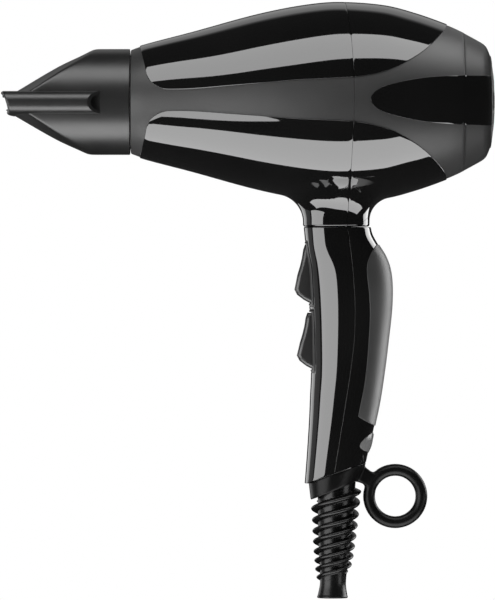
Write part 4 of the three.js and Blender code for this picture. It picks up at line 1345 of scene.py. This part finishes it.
# %% Joining, hollowing and the side inlets
def inlet_wedge(side):
    """The slanted block that trims the back corner of the bar down to the collar."""
    corners = [(INLET_BACK + 1, COLLAR_RADIUS + 0.1), (INLET_BACK, COLLAR_RADIUS + 0.1),
               (-132.0, SLOT_HALF_WIDTH + 1), (INLET_BACK + 1, SLOT_HALF_WIDTH + 1)]
    half_height = SLOT_HALF_HEIGHT + 1.4
    foot = [(x, side * y, SLOT_LEVEL - half_height) for x, y in corners]
    return pushed_out(foot, (0, 0, 2 * half_height))


def inlet_pocket(side):
    """The hollow behind an inlet: a slice of a slimmer bar that stops before the chamber's wall."""
    bm = outlet_bar(SLOT_HALF_WIDTH - 1.4, SLOT_HALF_HEIGHT - 1.1, INLET_BACK - 0.1, -136, False, 12)
    bmesh.ops.bisect_plane(bm, geom=bm.verts[:] + bm.edges[:] + bm.faces[:], dist=1e-4,
                           plane_co=(0, side * INLET_FLOOR, 0), plane_no=(0, -side, 0), clear_outer=True)
    bmesh.ops.holes_fill(bm, edges=[edge for edge in bm.edges if edge.is_boundary], sides=0)
    bmesh.ops.recalc_face_normals(bm, faces=bm.faces[:])
    return bm


nozzle = combined(nozzle, bar, "UNION")
for side in (1, -1):
    nozzle = combined(nozzle, inlet_wedge(side), "DIFFERENCE")
nozzle = combined(nozzle, nozzle_body(*CHAMBER, NOZZLE_WALL, 96, 60), "DIFFERENCE")
nozzle = combined(nozzle, rod_along_x(MOUTH_FRONT, -100, MOUTH_RADIUS, 128), "DIFFERENCE")
slot = outlet_bar(SLOT_HALF_WIDTH - SLOT_WALL, SLOT_HALF_HEIGHT - SLOT_WALL, SLOT_BACK, -185,
                  False, 24)
nozzle = combined(nozzle, slot, "DIFFERENCE")
for side in (1, -1):
    nozzle = combined(nozzle, inlet_pocket(side), "DIFFERENCE")
set_in_frame("nozzle_body", nozzle, "nozzle_black", "nozzle", ["nozzle_shell"], sharp=32)

# %% [markdown]
# ## Outlet spigot and snap ring
# Under the collar the nozzle's ring snaps over a thin spigot, the front end of the inner duct. With
# the nozzle pulled off, both show, so they are turned as rings with a real wall and broken edges.

# %% Spigot and ring
spigot = turned([
    (-104.6, 20.8), (-104.6, 22.4), (-122.6, 22.4), (-123, 22.1), (-123, 21.1), (-122.6, 20.8),
])
set_in_frame("outlet_spigot", spigot, "duct_grey", "housing", ["front_duct"])
snap_ring = turned([(-110.4, 22.8), (-110.4, 23.6), (-110.8, 23.8), (-124, 23.8), (-124, 22.8)])
set_in_frame("snap_ring_band", snap_ring, "duct_grey", "nozzle_ring", ["nozzle_snap_ring"])

# %% [markdown]
# ## Pieces that stay as they are
# The heater, the motor, the fan and the wiring are seen only through the grilles or with the cap
# or the nozzle pulled off. Their solids already have the right shapes, so they keep them and only
# get the finish that their slot in the record asks for.

# %% Finishes for the frame's own solids
kept = 0
for subpart in frame["record"]["subparts"]:
    node = frame["nodes"][subpart["node"]]
    node.data.materials.clear()
    node.data.materials.append(FINISHES[subpart["material_slot"]])
    kept += 1
print("solids with a finish", kept)

# %% [markdown]
# ## Studio
# A polished black cover shows hardly anything but the lamps, so the lamps are placed by what they
# must mirror: one long softbox above and one below draw the two bands that run the barrel's whole
# length, a tall strip on the nozzle's side draws the handle's band, and another strip a little
# behind lights the rear edges. In a studio, black flags keep a strip's light off the pieces that it
# would spoil. Light linking does the same here: it names the pieces that a lamp lights, or leaves
# out. The world is white where the eye looks past the dryer, half bright behind it for what
# polished edges mirror there, and dark elsewhere, so that the black stays black. The floor lies
# well below, because the dryer is shown as if held.

# %% Softboxes and their flags
SHOW_MIDDLE = Vector((-0.05125, 0, 0.011))
FLOOR_LEVEL = -0.95
BARREL_AXIS = Vector((-0.03, 0, AXIS_HEIGHT))


def softbox(name, azimuth, elevation, distance, width, height, radiance, about=BARREL_AXIS, roll=0):
    """An area lamp that faces a place; azimuth 0 is the viewer's side, 90 the nozzle's side."""
    turn, rise = math.radians(azimuth), math.radians(elevation)
    towards = Vector((-math.sin(turn) * math.cos(rise), -math.cos(turn) * math.cos(rise), math.sin(rise)))
    lamp = bpy.data.lights.new(name, "AREA")
    lamp.shape = "RECTANGLE"
    lamp.size = width
    lamp.size_y = height
    lamp.energy = radiance * math.pi * width * height
    holder = bpy.data.objects.new(name, lamp)
    holder.location = about + towards * distance
    holder.rotation_euler = (towards.to_track_quat("Z", "Y").to_matrix()
                             @ Matrix.Rotation(math.radians(roll), 3, "Z")).to_euler()
    holder.visible_camera = False
    bpy.context.scene.collection.objects.link(holder)
    print(name, round(lamp.energy, 2), "W")
    return holder


def flagged(lamp, *names, lit):
    """Name the pieces that alone a lamp lights, or that it leaves dark, as flags round it would."""
    pieces = bpy.data.collections.new(lamp.name + "_pieces")
    for piece_name in names:
        pieces.objects.link(bpy.data.objects[piece_name])
    for entry in pieces.collection_objects:
        entry.light_linking.link_state = "INCLUDE" if lit else "EXCLUDE"
    lamp.light_linking.receiver_collection = pieces


softbox("upper_softbox", 0, 64, 0.85, 1.6, 0.5, 2.65, roll=12)
softbox("lower_softbox", 0, -66.5, 0.85, 1.6, 0.62, 3.2)
softbox("nozzle_side_strip", 51, -4, 1.1, 1.15, 0.74, 2.85, SHOW_MIDDLE)
softbox("nozzle_side_back_strip", 138, -7, 1.2, 0.7, 0.56, 1.05, SHOW_MIDDLE)
softbox("nozzle_side_fill", 104, -6, 1.2, 0.74, 0.6, 0.2, SHOW_MIDDLE)
rear_strip = softbox("rear_side_strip", -116, 15, 1.25, 0.92, 0.85, 3.6, SHOW_MIDDLE)
flagged(rear_strip, "left_cap_strip", "right_cap_strip", "left_tongue_strip", "right_tongue_strip",
        "rear_cap_skin", lit=False)
relief_strip = softbox("relief_strip", -63, -13, 1.1, 0.5, 0.14, 3.0, SHOW_MIDDLE)
flagged(relief_strip, "strain_relief_skin", "hang_loop_skin", lit=True)
grip_strip = softbox("grip_strip", -116, -14, 1.25, 0.92, 0.42, 3.6, SHOW_MIDDLE)
flagged(grip_strip, "grip_pad_skin", "lower_rear_cover", lit=True)
quarter_strip = softbox("quarter_strip", -94, 56, 1.0, 0.6, 0.5, 3.4)
flagged(quarter_strip, "rear_shell_skin", "rear_cap_skin", lit=True)

# %% A world that differs for the eye, for mirrors and for other light
world = bpy.data.worlds.new("studio")
bpy.context.scene.world = world
world.use_nodes = True
tree = world.node_tree
tree.nodes.clear()


def math_node(tree, operation, first, second):
    node = tree.nodes.new("ShaderNodeMath")
    node.operation = operation
    for socket, given in zip(node.inputs, (first, second)):
        if isinstance(given, (int, float)):
            socket.default_value = given
        else:
            tree.links.new(given, socket)
    return node.outputs[0]


rays = tree.nodes.new("ShaderNodeLightPath").outputs
seen = math_node(tree, "MAXIMUM", rays["Is Camera Ray"], rays["Is Transmission Ray"])
direction = tree.nodes.new("ShaderNodeSeparateXYZ")
tree.links.new(tree.nodes.new("ShaderNodeTexCoord").outputs["Generated"], direction.inputs["Vector"])
behind = ranged(tree, direction.outputs["Y"], 0.0, 1.0, 0.55, 0.7)
low = ranged(tree, direction.outputs["Z"], 0.38, 0.0, 0.69, 0.79)
above = ranged(tree, direction.outputs["Z"], 0.0, 1.0, 0.25, 0.4)
mirrored = math_node(tree, "MULTIPLY", math_node(tree, "MULTIPLY", low, above), behind)
mirrored = math_node(tree, "MULTIPLY", math_node(tree, "ADD", mirrored, 0.02), rays["Is Glossy Ray"])
unseen = math_node(tree, "SUBTRACT", 1.0, math_node(tree, "MAXIMUM", seen, rays["Is Glossy Ray"]))
level = math_node(tree, "ADD", math_node(tree, "MULTIPLY", unseen, 0.3), mirrored)
background = tree.nodes.new("ShaderNodeBackground")
background.inputs["Color"].default_value = (1, 1, 1, 1)
tree.links.new(math_node(tree, "ADD", level, seen), background.inputs["Strength"])
output = tree.nodes.new("ShaderNodeOutputWorld")
tree.links.new(background.outputs["Background"], output.inputs["Surface"])

print("world nodes", len(tree.nodes))

# %% Floor
floor_mesh = bpy.data.meshes.new("floor")
bm = bmesh.new()
bmesh.ops.create_grid(bm, x_segments=1, y_segments=1, size=8)
bmesh.ops.translate(bm, vec=(0, 0, FLOOR_LEVEL), verts=bm.verts[:])
bm.to_mesh(floor_mesh)
bm.free()
floor = bpy.data.objects.new("floor", floor_mesh)
bpy.context.scene.collection.objects.link(floor)
floor_material = bpy.data.materials.new("pale_floor")
floor_material.use_nodes = True
tree = floor_material.node_tree
shader = tree.nodes["Principled BSDF"]
shader.inputs["Roughness"].default_value = 0.9
drift = use_group(tree, drift_group, Colour=(0.82, 0.82, 0.82, 1), Other_colour=(0.86, 0.86, 0.86, 1),
                  Patches_per_metre=3.0)
tree.links.new(drift.outputs["Colour"], shader.inputs["Base Color"])
shader.inputs["Emission Color"].default_value = (1, 1, 1, 1)
rays = tree.nodes.new("ShaderNodeLightPath").outputs
tree.links.new(math_node(tree, "MULTIPLY", rays["Is Camera Ray"], 0.55), shader.inputs["Emission Strength"])
floor_mesh.materials.append(floor_material)
floor.visible_glossy = False      # a polished cover would mirror the floor and look grey
print("floor at", FLOOR_LEVEL, "m")

# %% [markdown]
# ## Camera
# The dryer is shown straight from its left side. A long lens far away keeps the barrel's ends from
# turning towards the eye, so that lengths compare along the whole dryer.

# %% Camera, view and sizes
FRAME_HEIGHT = 0.3
camera_data = bpy.data.cameras.new("camera")
camera_data.lens = 400
camera_data.sensor_width = 36
camera = bpy.data.objects.new("camera", camera_data)
camera.location = SHOW_MIDDLE - Vector((0, FRAME_HEIGHT * camera_data.lens / camera_data.sensor_width, 0))
camera.rotation_euler = (math.pi / 2, 0, 0)
bpy.context.scene.collection.objects.link(camera)
bpy.context.scene.camera = camera
bpy.context.scene.view_settings.view_transform = "Standard"
print("camera", round(-camera.location.y, 2), "m away")
